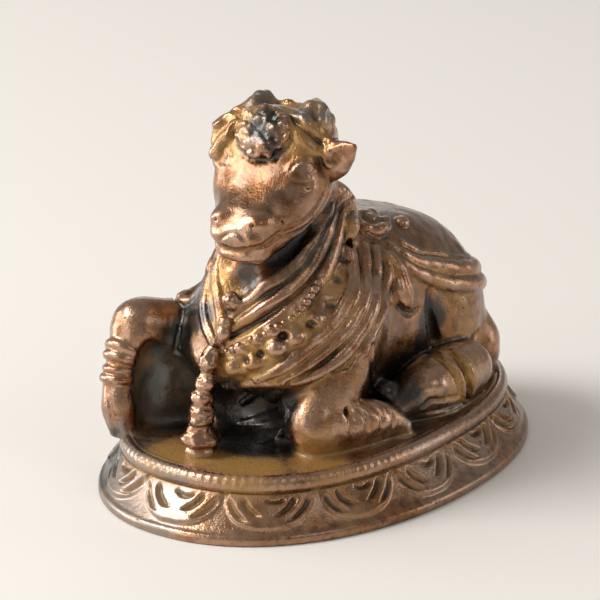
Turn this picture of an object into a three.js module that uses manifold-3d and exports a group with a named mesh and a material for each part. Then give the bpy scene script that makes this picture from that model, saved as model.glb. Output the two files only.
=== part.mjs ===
// A small cast figure of a resting bull, garlanded, on an oval lotus plinth.
// Millimetres, +Z up. The bull faces -Y, its left side is +X, and z = 0 is the plinth's underside.
import * as THREE from 'three';
import { mergeVertices } from 'three/addons/utils/BufferGeometryUtils.js';
import Module from 'manifold-3d';

const wasm = await Module();
wasm.setup();

// Plinth sizes
const plinthLength = 75;
const plinthWidth = 52;
const deckHeight = 8.2;
const footHeight = 1.4;
const footRounding = 0.1;
const footStep = 0.8;
const bandStart = 0.3;
const bandFlare = 3.9;
const lipHeight = 2.5;
const lipRise = 0.45;
const lipOverhang = 0.9;
const lipWidth = 1.9;
const footSquareness = 2.13;
const lipSquareness = 2.38;
const petalPitch = 13.4;
const petalRelief = 0.5;
const firstPetal = 0.07;
const crescentCut = 0.45;

// Figure sizes: every place on the bull is counted in fiftieths of its height above the deck
const figureHeight = 50;
const fiftieth = figureHeight / 50;
const headYaw = THREE.MathUtils.degToRad(5);
const foldThickness = 0.95 * fiftieth;
const garlandBead = 1.45 * fiftieth;

// Facets
const plinthFacets = 38;
const bodyFacets = 16;
const headFacets = 14;
const limbFacets = 8;
const bellFacets = 6;
const foldFacets = 3;

const bronze = new THREE.MeshStandardMaterial({
  name: 'patinated_bronze', color: 0x8a6248, roughness: 0.38, metalness: 0.9,
});

// Solids: closed meshes handed to the joining library

function solidOf(geometry) {
  const bare = geometry.clone();
  for (const name of ['normal', 'uv']) bare.deleteAttribute(name);
  const merged = mergeVertices(bare, 1e-5);
  const vertProperties = new Float32Array(merged.attributes.position.array);
  const triVerts = new Uint32Array(merged.index.array);
  return new wasm.Manifold(new wasm.Mesh({ numProp: 3, vertProperties, triVerts }));
}

function geometryOf(solid) {
  const { vertProperties, triVerts } = solid.getMesh();
  const geometry = new THREE.BufferGeometry();
  geometry.setAttribute('position', new THREE.BufferAttribute(new Float32Array(vertProperties), 3));
  geometry.setIndex(new THREE.BufferAttribute(new Uint32Array(triVerts), 1));
  return geometry;
}

const joined = (solids) => solids.reduce((whole, next) => whole.add(next));

// Rings of points skinned in order and closed by a fan at each end
function skinned(rings) {
  const count = rings[0].length;
  const points = rings.flat();
  const faces = [];
  for (let ring = 0; ring + 1 < rings.length; ring += 1) {
    for (let side = 0; side < count; side += 1) {
      const a = ring * count + side;
      const b = ring * count + (side + 1) % count;
      faces.push(a, b, b + count, a, b + count, a + count);
    }
  }
  const last = points.length - count;
  for (const [start, turn] of [[0, 1], [last, -1]]) {
    const middle = new THREE.Vector3();
    for (let side = 0; side < count; side += 1) middle.add(points[start + side]);
    const hub = points.push(middle.divideScalar(count)) - 1;
    for (let side = 0; side < count; side += 1) {
      const a = start + side;
      const b = start + (side + 1) % count;
      if (turn > 0) faces.push(hub, b, a);
      else faces.push(hub, a, b);
    }
  }
  if (volumeOf(points, faces) < 0) faces.reverse();
  const geometry = new THREE.BufferGeometry().setFromPoints(points);
  geometry.setIndex(faces);
  return solidOf(geometry);
}

function volumeOf(points, faces) {
  let sum = 0;
  for (let i = 0; i < faces.length; i += 3) {
    const [a, b, c] = [points[faces[i]], points[faces[i + 1]], points[faces[i + 2]]];
    sum += a.dot(new THREE.Vector3().crossVectors(b, c));
  }
  return sum / 6;
}

// One point of a superellipse with unit half-axes
function squareRound(angle, squareness) {
  const c = Math.cos(angle);
  const s = Math.sin(angle);
  const bend = (value) => Math.sign(value) * Math.abs(value) ** (2 / squareness);
  return [bend(c), bend(s)];
}

// A closed ring round a centre, along two half-axes given as vectors; an odd count has a point on top
function ringOf(centre, across, upward, squareness, count) {
  return Array.from({ length: count }, (_, i) => {
    const turn = i + (count % 2 ? count / 4 : 0.5);
    const [c, s] = squareRound(turn * 2 * Math.PI / count, squareness);
    return centre.clone().addScaledVector(across, c).addScaledVector(upward, s);
  });
}

// A smooth list of numbers through given ones
function through(values, share) {
  const spans = values.length - 1;
  const at = Math.min(share * spans, spans - 1e-9);
  const i = Math.floor(at);
  const [p0, p1, p2, p3] = [i - 1, i, i + 1, i + 2].map((k) => values[THREE.MathUtils.clamp(k, 0, spans)]);
  const t = at - i;
  const slope1 = (p2 - p0) / 2;
  const slope2 = (p3 - p1) / 2;
  return (2 * t ** 3 - 3 * t ** 2 + 1) * p1 + (t ** 3 - 2 * t ** 2 + t) * slope1
    + (3 * t ** 2 - 2 * t ** 3) * p2 + (t ** 3 - t ** 2) * slope2;
}

// How far a rounded end reaches past its path and how much it narrows there, as shares of the radius
const endReach = 0.8;
const endNarrowing = 0.55;

// A limb along a smooth path, with radii spread evenly along it. Its ends are round unless blunt,
// flat squeezes it along its upward side, and upright names that side at a point of the path.
function limb(path, radii, { steps = 6, sides = limbFacets, flat = 1, upright = null, blunt = false } = {}) {
  const curve = new THREE.CatmullRomCurve3(path, false, 'centripetal');
  const frames = curve.computeFrenetFrames(steps);
  const rings = [];
  const put = (step, alongEnd, shrink) => {
    const centre = curve.getPointAt(step / steps);
    const tangent = frames.tangents[step];
    const radius = through(radii, step / steps);
    const across = upright ? new THREE.Vector3().crossVectors(tangent, upright(centre)).normalize()
      : frames.normals[step].clone();
    const upward = new THREE.Vector3().crossVectors(across, tangent).normalize();
    centre.addScaledVector(tangent, alongEnd * radius);
    rings.push(ringOf(centre, across.multiplyScalar(radius * shrink),
      upward.multiplyScalar(radius * shrink * flat), 2, sides));
  };
  if (!blunt) put(0, -endReach, endNarrowing);
  for (let step = 0; step <= steps; step += 1) put(step, 0, 1);
  if (!blunt) put(steps, endReach, endNarrowing);
  return skinned(rings);
}

function ellipsoid(centre, halfX, halfY, halfZ, { across = 12, down = 8, turn = null } = {}) {
  const geometry = new THREE.SphereGeometry(1, across, down);
  geometry.scale(halfX, halfY, halfZ);
  if (turn) geometry.applyQuaternion(turn);
  geometry.translate(centre.x, centre.y, centre.z);
  return solidOf(geometry);
}

function bead(centre, radius, [wide, deep, high] = [1, 1, 1]) {
  const geometry = new THREE.OctahedronGeometry(radius, 1);
  geometry.scale(wide, deep, high);
  geometry.translate(centre.x, centre.y, centre.z);
  return solidOf(geometry);
}

// Places on the figure, from the deck up, and their mirror images
const spot = (x, y, z) => new THREE.Vector3(x * fiftieth, y * fiftieth, deckHeight + z * fiftieth);
const spots = (list) => list.map(([x, y, z]) => spot(x, y, z));
const mirrored = (list) => list.map(([x, y, z]) => [-x, y, z]);
const sized = (list) => list.map((value) => value * fiftieth);

// Places on the head: sideways to the bull's left, forward, and up from the deck
const neckPivot = { x: 0, y: -8 };
function headSpot(side, forward, up) {
  const x = neckPivot.x + side * Math.cos(headYaw) + forward * Math.sin(headYaw);
  const y = neckPivot.y + side * Math.sin(headYaw) - forward * Math.cos(headYaw);
  return spot(x, y, up);
}

// Plinth: outlines one inside another, from the foot up to the lip and in over the deck

const bandBottom = footHeight + bandStart;
const lipBottom = deckHeight + lipRise - lipHeight;
const bandTopInset = footStep + bandFlare;

function plinthRing(height, inset) {
  const share = THREE.MathUtils.clamp(inset / bandTopInset, 0, 1);
  const squareness = THREE.MathUtils.lerp(footSquareness, lipSquareness, share);
  const halfLength = new THREE.Vector3(0, plinthLength / 2 - inset, 0);
  const halfWidth = new THREE.Vector3(plinthWidth / 2 - inset, 0, 0);
  return ringOf(new THREE.Vector3(0, 0, height), halfWidth, halfLength, squareness, plinthFacets);
}

// How far the carved band stands in from the foot at a share of its height
const bandInset = (share) => footStep + bandFlare * share;

function plinthBody() {
  const lipInset = bandTopInset - lipOverhang;
  const lipTop = deckHeight + lipRise;
  const profile = [
    [0, footRounding],
    [footHeight * 0.5, 0],
    [footHeight, footRounding * 1.5],
    [bandBottom, bandInset(0)],
    [lipBottom, bandInset(1)],
    [lipBottom + lipHeight * 0.12, lipInset + lipOverhang * 0.3],
    [lipBottom + lipHeight * 0.45, lipInset],
    [lipBottom + lipHeight * 0.85, lipInset + lipWidth * 0.25],
    [lipTop, lipInset + lipWidth * 0.7],
    [deckHeight, lipInset + lipWidth * 1.2],
  ];
  return skinned(profile.map(([height, inset]) => plinthRing(height, inset)));
}

// The carved band's surface, by distance round it and share of its height
function bandMap() {
  const samples = 720;
  const angles = Array.from({ length: samples + 1 }, (_, i) => i * 2 * Math.PI / samples);
  const middle = (angle) => bandPoint(angle, 0.5);
  const lengths = [0];
  angles.slice(1).forEach((angle, i) => {
    lengths.push(lengths[i] + middle(angle).distanceTo(middle(angles[i])));
  });
  const round = lengths[samples];
  return {
    round,
    at(distance, share) {
      const wanted = THREE.MathUtils.euclideanModulo(distance, round);
      const i = Math.max(1, lengths.findIndex((length) => length >= wanted));
      const part = (wanted - lengths[i - 1]) / (lengths[i] - lengths[i - 1]);
      return bandPoint(THREE.MathUtils.lerp(angles[i - 1], angles[i], part), share);
    },
  };
}

function bandPoint(angle, share) {
  const inset = bandInset(share);
  const squareness = THREE.MathUtils.lerp(footSquareness, lipSquareness, inset / bandTopInset);
  const [c, s] = squareRound(angle - Math.PI / 2, squareness);
  const height = THREE.MathUtils.lerp(bandBottom, lipBottom, share);
  return new THREE.Vector3(c * (plinthWidth / 2 - inset), s * (plinthLength / 2 - inset), height);
}

// One lotus petal: a raised tongue under the lip and the crescents cut in it
const petalOutline = [[-0.94, 1.05], [-0.88, 0.5], [-0.58, 0.16], [0, 0.04], [0.58, 0.16], [0.88, 0.5],
  [0.94, 1.05]];
const crescent = [[0.14, 0.4], [0.4, 0.3], [0.64, 0.5], [0.68, 0.82]];

function tongue(band, centre, halfWidth, outward) {
  const levels = [-3, 1].map((level) => petalOutline.map(([sideways, share]) => (
    band.at(centre + sideways * halfWidth * (level < 0 ? 1.1 : 0.98), level < 0 ? share - 0.05 : share)
      .addScaledVector(outward, level * petalRelief))));
  return skinned(levels);
}

// The petals at the rear and on the right flank are plain tongues
const carvedSide = (outward) => outward.y < 0.35 && outward.x > -0.3;

function petals() {
  const band = bandMap();
  const count = Math.round(band.round / petalPitch);
  const pitch = band.round / count;
  const tongues = [];
  const cuts = [];
  for (let i = 0; i < count; i += 1) {
    const centre = (i + firstPetal) * pitch;
    const outward = band.at(centre, 0.5).setZ(0).normalize().add(new THREE.Vector3(0, 0, 1)).normalize();
    tongues.push(tongue(band, centre, pitch / 2, outward));
    for (const side of carvedSide(outward) ? [-1, 1] : []) {
      const arc = crescent.map(([sideways, share]) => band.at(centre + side * sideways * pitch / 2, share)
        .addScaledVector(outward, petalRelief));
      cuts.push(limb(arc, [0.2, 1, 1, 0.3].map((share) => share * crescentCut),
        { steps: 3, sides: 3, blunt: true, upright: () => outward.clone().negate() }));
    }
  }
  return { tongues, cuts };
}

// Body: an upright chest and neck, and a barrel lying behind it

// Height above the deck, how far forward the middle lies, half-width, half-depth
const chestSections = [
  [-1, -6, 10.6, 11.6], [5, -6.5, 10.6, 12], [8, -7.3, 11.6, 13.4], [11, -8.5, 13, 14.4],
  [15, -8.5, 12.5, 13.8], [19.4, -8.5, 10.4, 12], [24.5, -7.5, 8.7, 10.4], [30.8, -6.6, 7.2, 7.4],
  [34, -7, 5.2, 5.6], [38, -8.2, 4.4, 4.2],
];

// Distance back, lowest and highest point above the deck, half-width
const barrelSections = [
  [-12, 2, 21, 10.5], [-6, -1, 26.5, 12.6], [2, -1, 27.6, 13], [10, -1, 27, 13], [18, -1, 25, 12.8],
  [24, -1, 21.8, 11.5], [27.6, -0.5, 17.8, 8.6], [29.6, 3, 14.6, 5.6],
];

function chest() {
  return skinned(chestSections.map(([up, forward, wide, deep]) => ringOf(spot(0, forward, up),
    new THREE.Vector3(wide * fiftieth, 0, 0), new THREE.Vector3(0, deep * fiftieth, 0), 2.4, bodyFacets)));
}

function barrel() {
  return skinned(barrelSections.map(([back, low, high, wide]) => ringOf(spot(0, back, (low + high) / 2),
    new THREE.Vector3(wide * fiftieth, 0, 0), new THREE.Vector3(0, 0, (high - low) / 2 * fiftieth), 2.3,
    bodyFacets)));
}

function haunch(side) {
  const thigh = ellipsoid(spot(side * 8.3, 17.5, 9), 6.4 * fiftieth, 9.4 * fiftieth, 11 * fiftieth,
    { across: 10, down: 7 });
  const tailSide = ellipsoid(spot(side * 11, 23.6, 4), 4.2 * fiftieth, 4 * fiftieth, 5.5 * fiftieth,
    { across: 8, down: 6 });
  return thigh.add(tailSide);
}

// Legs

const onSide = (side, list) => (side < 0 ? mirrored(list) : list);

function upperArm(side) {
  return limb(spots(onSide(side, [[9.4, -7, 16.5], [10.6, -11.5, 10.5], [10.8, -16, 4.4]])),
    sized([5.6, 5, 4]), { steps: 5 });
}

function foldedShank(side) {
  const path = [[10.9, -16.4, 3.8], [14, -11, 3.4], [15.9, -6.3, 2.7], [17.1, -3.8, 1.4]];
  return limb(spots(onSide(side, path)), sized([3.9, 3.4, 2.7, 1.3]), { steps: 5 });
}

function raisedForeleg() {
  const upper = limb(spots([[-8.5, -13, 12], [-12.6, -16.6, 13.2], [-15.8, -20.4, 14.1]]),
    sized([4.6, 3.9, 4]), { steps: 4 });
  const shinPath = [[-15.9, -20.9, 13.9], [-16.3, -24, 10.6], [-15.9, -25.5, 4.6], [-15.1, -25.6, 0]];
  const shin = limb(spots(shinPath),
    sized([3.8, 3.3, 2.3, 2.7, 2.8, 2.2, 2.6, 2.6, 2.1, 2.3, 2.5, 2.2, 1.7]), { steps: 12 });
  const web = limb(spots([[-8, -14, 6], [-15, -23.6, 5.2]]), sized([2.4, 1.3]),
    { steps: 2, flat: 4, sides: 6, upright: () => new THREE.Vector3(0, 0, 1) });
  return [upper, shin, web];
}

function hindFoot(side) {
  const path = [[15.2, 15, 4], [15.9, 10, 3.9], [16, 4.5, 2.8], [15.4, 1, 1.4]];
  return limb(spots(onSide(side, path)), sized([4.2, 4.3, 3.2, 1.4]), { steps: 5 });
}

// Head

// Sections across the head: forward and up of the top and of the bottom, and the half-width
const headSections = [
  [-4.6, 43, -4.6, 36.5, 4.6], [-1.8, 45.6, -2, 33.5, 7.4], [2, 46.4, 0.6, 31.6, 8.2],
  [5.1, 43.4, 2.9, 30.4, 8.1], [6.3, 39.6, 5.2, 29, 7.4], [8.6, 37, 7.4, 27.8, 6.1],
  [11.2, 35.4, 9.6, 26.8, 5.3], [13.1, 34.1, 11.2, 26.6, 5.1], [14, 32.8, 12.6, 27.4, 4],
  [14.2, 31.4, 13.4, 28.8, 2.2],
];

function headRing([topForward, topUp, lowForward, lowUp, wide]) {
  const top = headSpot(0, topForward, topUp);
  const low = headSpot(0, lowForward, lowUp);
  const sideways = headSpot(wide, 0, 0).sub(headSpot(0, 0, 0));
  const middle = top.clone().lerp(low, 0.5);
  return ringOf(middle, sideways, top.sub(low).multiplyScalar(0.5), 2.6, headFacets);
}

function horn(side) {
  const path = [[5, -1.2, 43], [4.7, -1.7, 45.2], [4.2, -2.2, 46.2]];
  const places = path.map(([out, forward, up]) => headSpot(side * out, forward, up));
  return limb(places, sized([2.5, 2, 1.1]), { steps: 2, sides: 6 });
}

function ear(tip, root) {
  return limb([root, root.clone().lerp(tip, 0.55), tip], sized([1.5, 2.3, 0.8]),
    { steps: 3, sides: 6, flat: 0.55, upright: () => new THREE.Vector3(0.3, -1, 0.2) });
}

const browBand = [[-7.9, 4.8, 38.6], [-7.2, 4.2, 42.4], [-4.6, 3.3, 45.3], [0.4, 2.4, 46], [4.8, 2.6, 44.7],
  [7.4, 2.5, 42], [8.3, 2, 39.4]];
const mouthLine = [[-5.4, 9.5, 30.6], [-4.2, 12.4, 29.2], [0, 13.6, 28.9], [4.2, 12.4, 29.2],
  [5.4, 9.5, 30.8]];

const outOfHead = (place) => place.clone().sub(headSpot(0, 0, 39));

function head() {
  const parts = [skinned(headSections.map(headRing))];
  parts.push(horn(-1), horn(1));
  parts.push(ear(headSpot(12.2, 2.7, 42.4), headSpot(7.8, 0.8, 38.4)));
  parts.push(ear(headSpot(-9.8, -4, 41), headSpot(-7.2, -0.6, 39)));
  for (const side of [-1, 1]) {
    parts.push(bead(headSpot(side * 6, 5.5, 38.9), 1.5 * fiftieth, [1.15, 0.9, 1]));
    parts.push(bead(headSpot(side * 3.1, 12, 32.9), 1.9 * fiftieth, [1.05, 1, 0.85]));
  }
  parts.push(limb(browBand.map((place) => headSpot(...place)), sized([1, 1.2, 1]),
    { steps: 8, sides: 4, blunt: true, upright: outOfHead }));
  const tuftTurn = new THREE.Quaternion().setFromEuler(new THREE.Euler(1.25, 0, headYaw));
  parts.push(ellipsoid(headSpot(0.2, 5, 42.6), 4.4 * fiftieth, 3.5 * fiftieth, 1.9 * fiftieth,
    { across: 8, down: 5, turn: tuftTurn }));
  const cuts = [-1, 1].map((side) => bead(headSpot(side * 3.1, 13.8, 33.1), 0.8 * fiftieth));
  cuts.push(limb(mouthLine.map((place) => headSpot(...place)), sized([0.4, 0.5, 0.4]),
    { steps: 6, sides: 4, blunt: true }));
  return joined(parts).subtract(joined(cuts));
}

// Cloth and garlands, laid on the body: each path point is dropped along the line to the core

const coreOf = (place) => {
  const core = spot(0, 0, 0);
  core.y = THREE.MathUtils.clamp(place.y, -8 * fiftieth, 18 * fiftieth);
  core.z = place.z > spot(0, 0, 20).z && place.y < 0 ? place.z : Math.min(place.z, spot(0, 0, 12).z);
  return core;
};
const outOfBody = (place) => place.clone().sub(coreOf(place)).normalize();

function layOn(surface) {
  const ray = new THREE.Raycaster();
  return (place) => {
    const outward = outOfBody(place);
    ray.set(coreOf(place).addScaledVector(outward, figureHeight), outward.clone().negate());
    const hit = ray.intersectObject(surface)[0];
    return hit ? hit.point : place;
  };
}

// Folds spread evenly between two edge paths
function foldsBetween(first, second, count, lay, radius) {
  return Array.from({ length: count }, (_, i) => {
    const path = first.map((place, k) => lay(place.clone().lerp(second[k], i / (count - 1))));
    return limb(path, [radius * 0.7, radius, radius, radius * 0.7],
      { steps: 6, sides: foldFacets, blunt: true, upright: outOfBody });
  });
}

const shawlInner = [[8, -2.9, 25], [11.4, -7.5, 20.8], [11.6, -13.5, 16], [7.4, -20.8, 12.4],
  [1.2, -22.4, 10.4]];
const shawlOuter = [[9.4, 3.4, 24.2], [12.4, -1.8, 17.6], [14.2, -9.4, 14.6], [9.5, -18.8, 10.8],
  [0.6, -21.5, 8.2]];
const scarfInner = [[5.9, -5.6, 34], [6.9, -11, 28.6], [5.6, -16.6, 23.6], [2, -20, 19.8],
  [-0.3, -21.6, 17]];
const scarfOuter = [[6.5, -2, 31.1], [8.2, -6.8, 26], [8.6, -13.8, 22], [4.6, -20, 18.2], [0, -22.2, 15.4]];
const garlandLine = [[9, -6.2, 24.2], [10, -11.6, 20], [9.4, -16.4, 17.8], [7.2, -20, 16], [3.8, -22, 13.2],
  [0, -22.9, 11.6]];
const cruppers = [
  [[8.4, 4.2, 24.7], [11.5, 11.3, 20.1], [12.3, 20, 16.6], [8.5, 26.5, 15.4], [0, 30, 15]],
  [[9.3, 3.9, 24], [12.3, 10.2, 18], [13.5, 19, 14.1], [9.5, 26.4, 12.8], [0, 30, 12.4]],
];

function cloth(lay) {
  const parts = [];
  for (const turn of [(list) => list, mirrored]) {
    const path = (list) => spots(turn(list));
    const full = turn !== mirrored;
    parts.push(...foldsBetween(path(shawlInner), path(shawlOuter), full ? 4 : 2, lay, foldThickness));
    parts.push(...foldsBetween(path(scarfInner), path(scarfOuter), full ? 3 : 2, lay, foldThickness));
    for (const line of cruppers) {
      parts.push(limb(path(line).map(lay), sized([1, 1.5, 1.5, 1.3]),
        { steps: 6, sides: 4, blunt: true, upright: outOfBody }));
    }
    const leaf = path([[9.6, 4.4, 23.7], [12, 4, 19.5], [13, 4.2, 16.4]]).map(lay);
    parts.push(limb(leaf, sized([1, 1.5, 2]), { steps: 3, sides: 5, upright: outOfBody }));
    const beadLine = new THREE.CatmullRomCurve3(path(garlandLine).map(lay));
    const beadCount = full ? 7 : 5;
    for (let i = 0; i < beadCount; i += 1) {
      parts.push(bead(beadLine.getPointAt((i + 0.3) / beadCount), garlandBead));
    }
  }
  return parts;
}

function ornaments(lay) {
  const parts = [];
  parts.push(bead(lay(spot(0, -21.5, 21.2)), 1.3 * fiftieth));
  const drop = [lay(spot(-0.2, -22, 18.8)), lay(spot(-0.3, -22.4, 17))];
  parts.push(limb(drop, sized([0.8, 1.3]), { steps: 1, sides: 6 }));
  const rosette = lay(spot(4.5, 5.4, 26.6));
  parts.push(ellipsoid(rosette, 2.6 * fiftieth, 2.6 * fiftieth, 1.5 * fiftieth, { across: 8, down: 5 }));
  return parts;
}

function tail() {
  const path = spots([[0.4, 28.4, 17], [1, 29.6, 10], [3.2, 29.4, 3.6], [8, 27.8, 1.2]]);
  return limb(path, sized([1.5, 1.1, 1.2, 1.6]), { steps: 6, sides: 5 });
}

// The hanging bell string, standing on the deck in front of the chest
function bellColumn() {
  const profile = [
    [0, -1], [2, -1], [2, 0.5], [1.6, 0.9], [2.7, 1.3], [2.6, 2], [1.9, 2.8], [1.8, 3.7], [1.3, 4.1],
    [1.75, 5.4], [1.2, 6.9], [1.7, 8.5], [1.2, 9.9], [1.6, 11.4], [1.1, 12.8], [1.3, 14], [0, 15],
  ].map(([radius, up]) => new THREE.Vector2(radius * fiftieth, up * fiftieth));
  const geometry = new THREE.LatheGeometry(profile, bellFacets);
  geometry.rotateX(Math.PI / 2);
  const lean = new THREE.Quaternion().setFromUnitVectors(new THREE.Vector3(0, 0, 1),
    new THREE.Vector3(1, 1.5, 14.4).normalize());
  geometry.applyQuaternion(lean);
  geometry.translate(...spot(-2, -26, 0).toArray());
  return solidOf(geometry);
}

// The whole casting

function figure() {
  const base = joined([chest(), barrel(), haunch(1), haunch(-1), upperArm(1)]);
  const surface = new THREE.Mesh(geometryOf(base));
  surface.geometry.computeBoundingSphere();
  const lay = layOn(surface);
  return joined([
    base, head(), foldedShank(1), ...raisedForeleg(), hindFoot(1), hindFoot(-1),
    ...cloth(lay), ...ornaments(lay), tail(), bellColumn(),
  ]);
}

function nandiBull() {
  const { tongues, cuts } = petals();
  const plinth = joined([plinthBody(), ...tongues]).subtract(joined(cuts));
  const mesh = new THREE.Mesh(geometryOf(plinth.add(figure())), bronze);
  mesh.name = 'nandi_bull';
  return mesh;
}

const object = new THREE.Group();
object.add(nandiBull());

export default object;
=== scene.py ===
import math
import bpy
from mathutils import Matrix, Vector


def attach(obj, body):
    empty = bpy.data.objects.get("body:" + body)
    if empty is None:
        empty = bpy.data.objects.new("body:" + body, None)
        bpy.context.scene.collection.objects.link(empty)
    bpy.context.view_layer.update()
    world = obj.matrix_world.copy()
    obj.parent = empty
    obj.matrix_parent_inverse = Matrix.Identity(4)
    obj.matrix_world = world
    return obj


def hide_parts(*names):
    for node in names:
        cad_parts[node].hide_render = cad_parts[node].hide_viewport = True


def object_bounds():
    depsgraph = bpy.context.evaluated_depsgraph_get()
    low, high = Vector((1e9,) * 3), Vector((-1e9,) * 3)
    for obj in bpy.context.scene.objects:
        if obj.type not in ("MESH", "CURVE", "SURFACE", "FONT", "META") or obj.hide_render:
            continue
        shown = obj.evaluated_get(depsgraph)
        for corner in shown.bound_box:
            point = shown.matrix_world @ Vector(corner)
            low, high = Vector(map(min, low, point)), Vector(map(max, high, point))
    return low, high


bl_info = {
    "name": "Nandi Bull Figure",
    "version": (1, 0, 0),
    "blender": (4, 5, 0),
    "location": "3D View > Sidebar > Nandi",
    "description": "Models a small cast figure of a resting bull on its lotus plinth, with its patina",
    "category": "Add Mesh",
}

from functools import lru_cache
from itertools import product

import bmesh
import bpy
import numpy as np
import openvdb
from bpy.props import FloatProperty, FloatVectorProperty, IntProperty, PointerProperty
from mathutils import Vector

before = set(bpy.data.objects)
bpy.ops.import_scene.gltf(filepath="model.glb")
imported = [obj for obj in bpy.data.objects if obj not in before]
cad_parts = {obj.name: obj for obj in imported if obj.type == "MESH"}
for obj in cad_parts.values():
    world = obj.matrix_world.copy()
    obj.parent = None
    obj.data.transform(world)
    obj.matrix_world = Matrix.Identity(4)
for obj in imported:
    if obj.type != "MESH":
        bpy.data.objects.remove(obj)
CAD_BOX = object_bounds()
CAD_NODE = "nandi_bull"
PATINA_AND_PAINTED_LIGHT = "cast_patina_and_painted_light"
MOST_TRIANGLES = 190000
MILLIMETRE = 0.001

# How square the plinth's oval is at its foot and at its lip; 2 would be an ellipse
FOOT_SQUARENESS = 2.13
LIP_SQUARENESS = 2.38

# Sizes and colours that a user can change


class PlinthSizes(bpy.types.PropertyGroup):
    length: FloatProperty(
        name="Length", description="Length of the oval foot", unit="LENGTH",
        default=CAD_BOX[1].y - CAD_BOX[0].y,
    )
    width: FloatProperty(
        name="Width", description="Width of the oval foot", default=0.0517, unit="LENGTH",
    )
    deck_height: FloatProperty(
        name="Deck height", description="Height of the deck that the bull lies on",
        default=0.0082, unit="LENGTH",
    )
    foot_height: FloatProperty(
        name="Foot height", description="Height of the plain foot under the petals",
        default=0.0014, unit="LENGTH",
    )
    band_flare: FloatProperty(
        name="Band flare", description="How far the petal band slopes inwards",
        default=0.0039, unit="LENGTH",
    )
    lip_height: FloatProperty(
        name="Lip height", description="Height of the rolled lip above the petals",
        default=0.0025, unit="LENGTH",
    )
    petals: IntProperty(
        name="Petals", description="Number of lotus petals round the band", default=14, min=4,
    )
    petal_relief: FloatProperty(
        name="Petal relief", description="How far the petals stand proud",
        default=0.00055, unit="LENGTH",
    )


class FigureSizes(bpy.types.PropertyGroup):
    height: FloatProperty(
        name="Height", description="Height of the bull above the deck", default=0.05, unit="LENGTH"
    )
    grain: FloatProperty(
        name="Grain", description="Spacing of the modelled surface's points",
        default=0.00024, unit="LENGTH",
    )
    unevenness: FloatProperty(
        name="Unevenness", description="Depth of the casting's gentle unevenness",
        default=0.00003, unit="LENGTH",
    )


class FinishColours(bpy.types.PropertyGroup):
    # Copper is also painted light: the rub marks brighten the lip, the petal band, the shin and the bells
    # where the low front light falls
    copper: FloatVectorProperty(
        name="Copper", description="Bare metal where hands rub it", subtype="COLOR", size=3,
        default=(0.45, 0.268, 0.172),
    )
    brown: FloatVectorProperty(
        name="Brown", description="Metal under its thin brown patina", subtype="COLOR", size=3,
        default=(0.16, 0.067, 0.025),
    )
    lacquer: FloatVectorProperty(
        name="Lacquer", description="Old lacquer where it pools", subtype="COLOR", size=3,
        default=(0.38, 0.202, 0.06),
    )
    rust: FloatVectorProperty(
        name="Rust", description="Redder clouds in the patina", subtype="COLOR", size=3,
        default=(0.27, 0.105, 0.04),
    )
    # Grey is also a painted sheen: the grey-blue reflection on the web and the silvery highlight on the
    # plinth's band
    grey_bloom_and_sheen: FloatVectorProperty(
        name="Grey", description="Dull bloom on the surfaces that face up", subtype="COLOR", size=3,
        default=(0.27, 0.24, 0.215),
    )
    # Umber also paints shade where the broad shelter term darkens sheltered places
    umber: FloatVectorProperty(
        name="Umber", description="Dark brown in the crevices", subtype="COLOR", size=3,
        default=(0.036, 0.022, 0.012),
    )
    # Soot is also painted shade: the hollow under the chest, the belly behind the folded leg and the wall
    # beside the bells
    soot_and_shade: FloatVectorProperty(
        name="Soot", description="Black patina in the recesses", subtype="COLOR", size=3,
        default=(0.041, 0.035, 0.03),
    )
    # Ash is also a painted grey-blue reflection on the black web
    ash_and_sheen: FloatVectorProperty(
        name="Ash", description="Grey bloom on the black", subtype="COLOR", size=3,
        default=(0.115, 0.11, 0.097),
    )


class StageSettings(bpy.types.PropertyGroup):
    floor: FloatVectorProperty(
        name="Floor", description="Colour of the floor", subtype="COLOR", size=3,
        default=(0.95, 0.9, 0.84),
    )
    key_power: FloatProperty(
        name="Light power", description="Power that each light takes its share of", default=5.7, unit="POWER",
    )
    sky: FloatProperty(name="Sky", description="Strength of the light from all round", default=0.49)


# Curves and distances, in fiftieths of the figure's height counted from the deck

FIGURE_UNITS = 50

# What empty space starts at, and how far round a form its distances are worked out
FAR = 9.0
REACH = 3.5


def eased(stations, values, at):
    """A smooth curve through values at rising stations; past its ends it holds still."""
    stations, values = np.asarray(stations, float), np.asarray(values, float)
    slopes = np.gradient(values, stations, axis=0)
    at = np.clip(at, stations[0], stations[-1])
    i = np.clip(np.searchsorted(stations, at, side="right") - 1, 0, len(stations) - 2)
    width = stations[i + 1] - stations[i]
    t = (at - stations[i]) / width
    if values.ndim > 1:
        t, width = t[..., None], width[..., None]
    return (
        (2 * t**3 - 3 * t**2 + 1) * values[i]
        + (t**3 - 2 * t**2 + t) * width * slopes[i]
        + (3 * t**2 - 2 * t**3) * values[i + 1]
        + (t**3 - t**2) * width * slopes[i + 1]
    )


def smooth_path(path, values, step):
    """Points every step along a smooth path, and the values that are spread evenly along it."""
    path = np.asarray(path, float)
    lengths = np.concatenate([[0], np.cumsum(np.linalg.norm(np.diff(path, axis=0), axis=1))])
    count = max(3, int(math.ceil(lengths[-1] / step)) + 1)
    values = np.atleast_1d(np.asarray(values, float))
    if len(values) < 2:
        values = np.repeat(values, 2, axis=0)
    shares = np.linspace(0, 1, count)
    points = eased(lengths, path, shares * lengths[-1])
    return points, eased(np.linspace(0, 1, len(values)), values, shares)


def smooth_points(path, step):
    """Points every step along a smooth path."""
    return smooth_path(path, (1, 1), step)[0]


def smooth_low(a, b, blend):
    """The lower of two distances, eased where they are within blend of each other."""
    near = np.maximum(blend - np.abs(a - b), 0) / blend
    return np.minimum(a, b) - near * near * blend / 4


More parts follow.
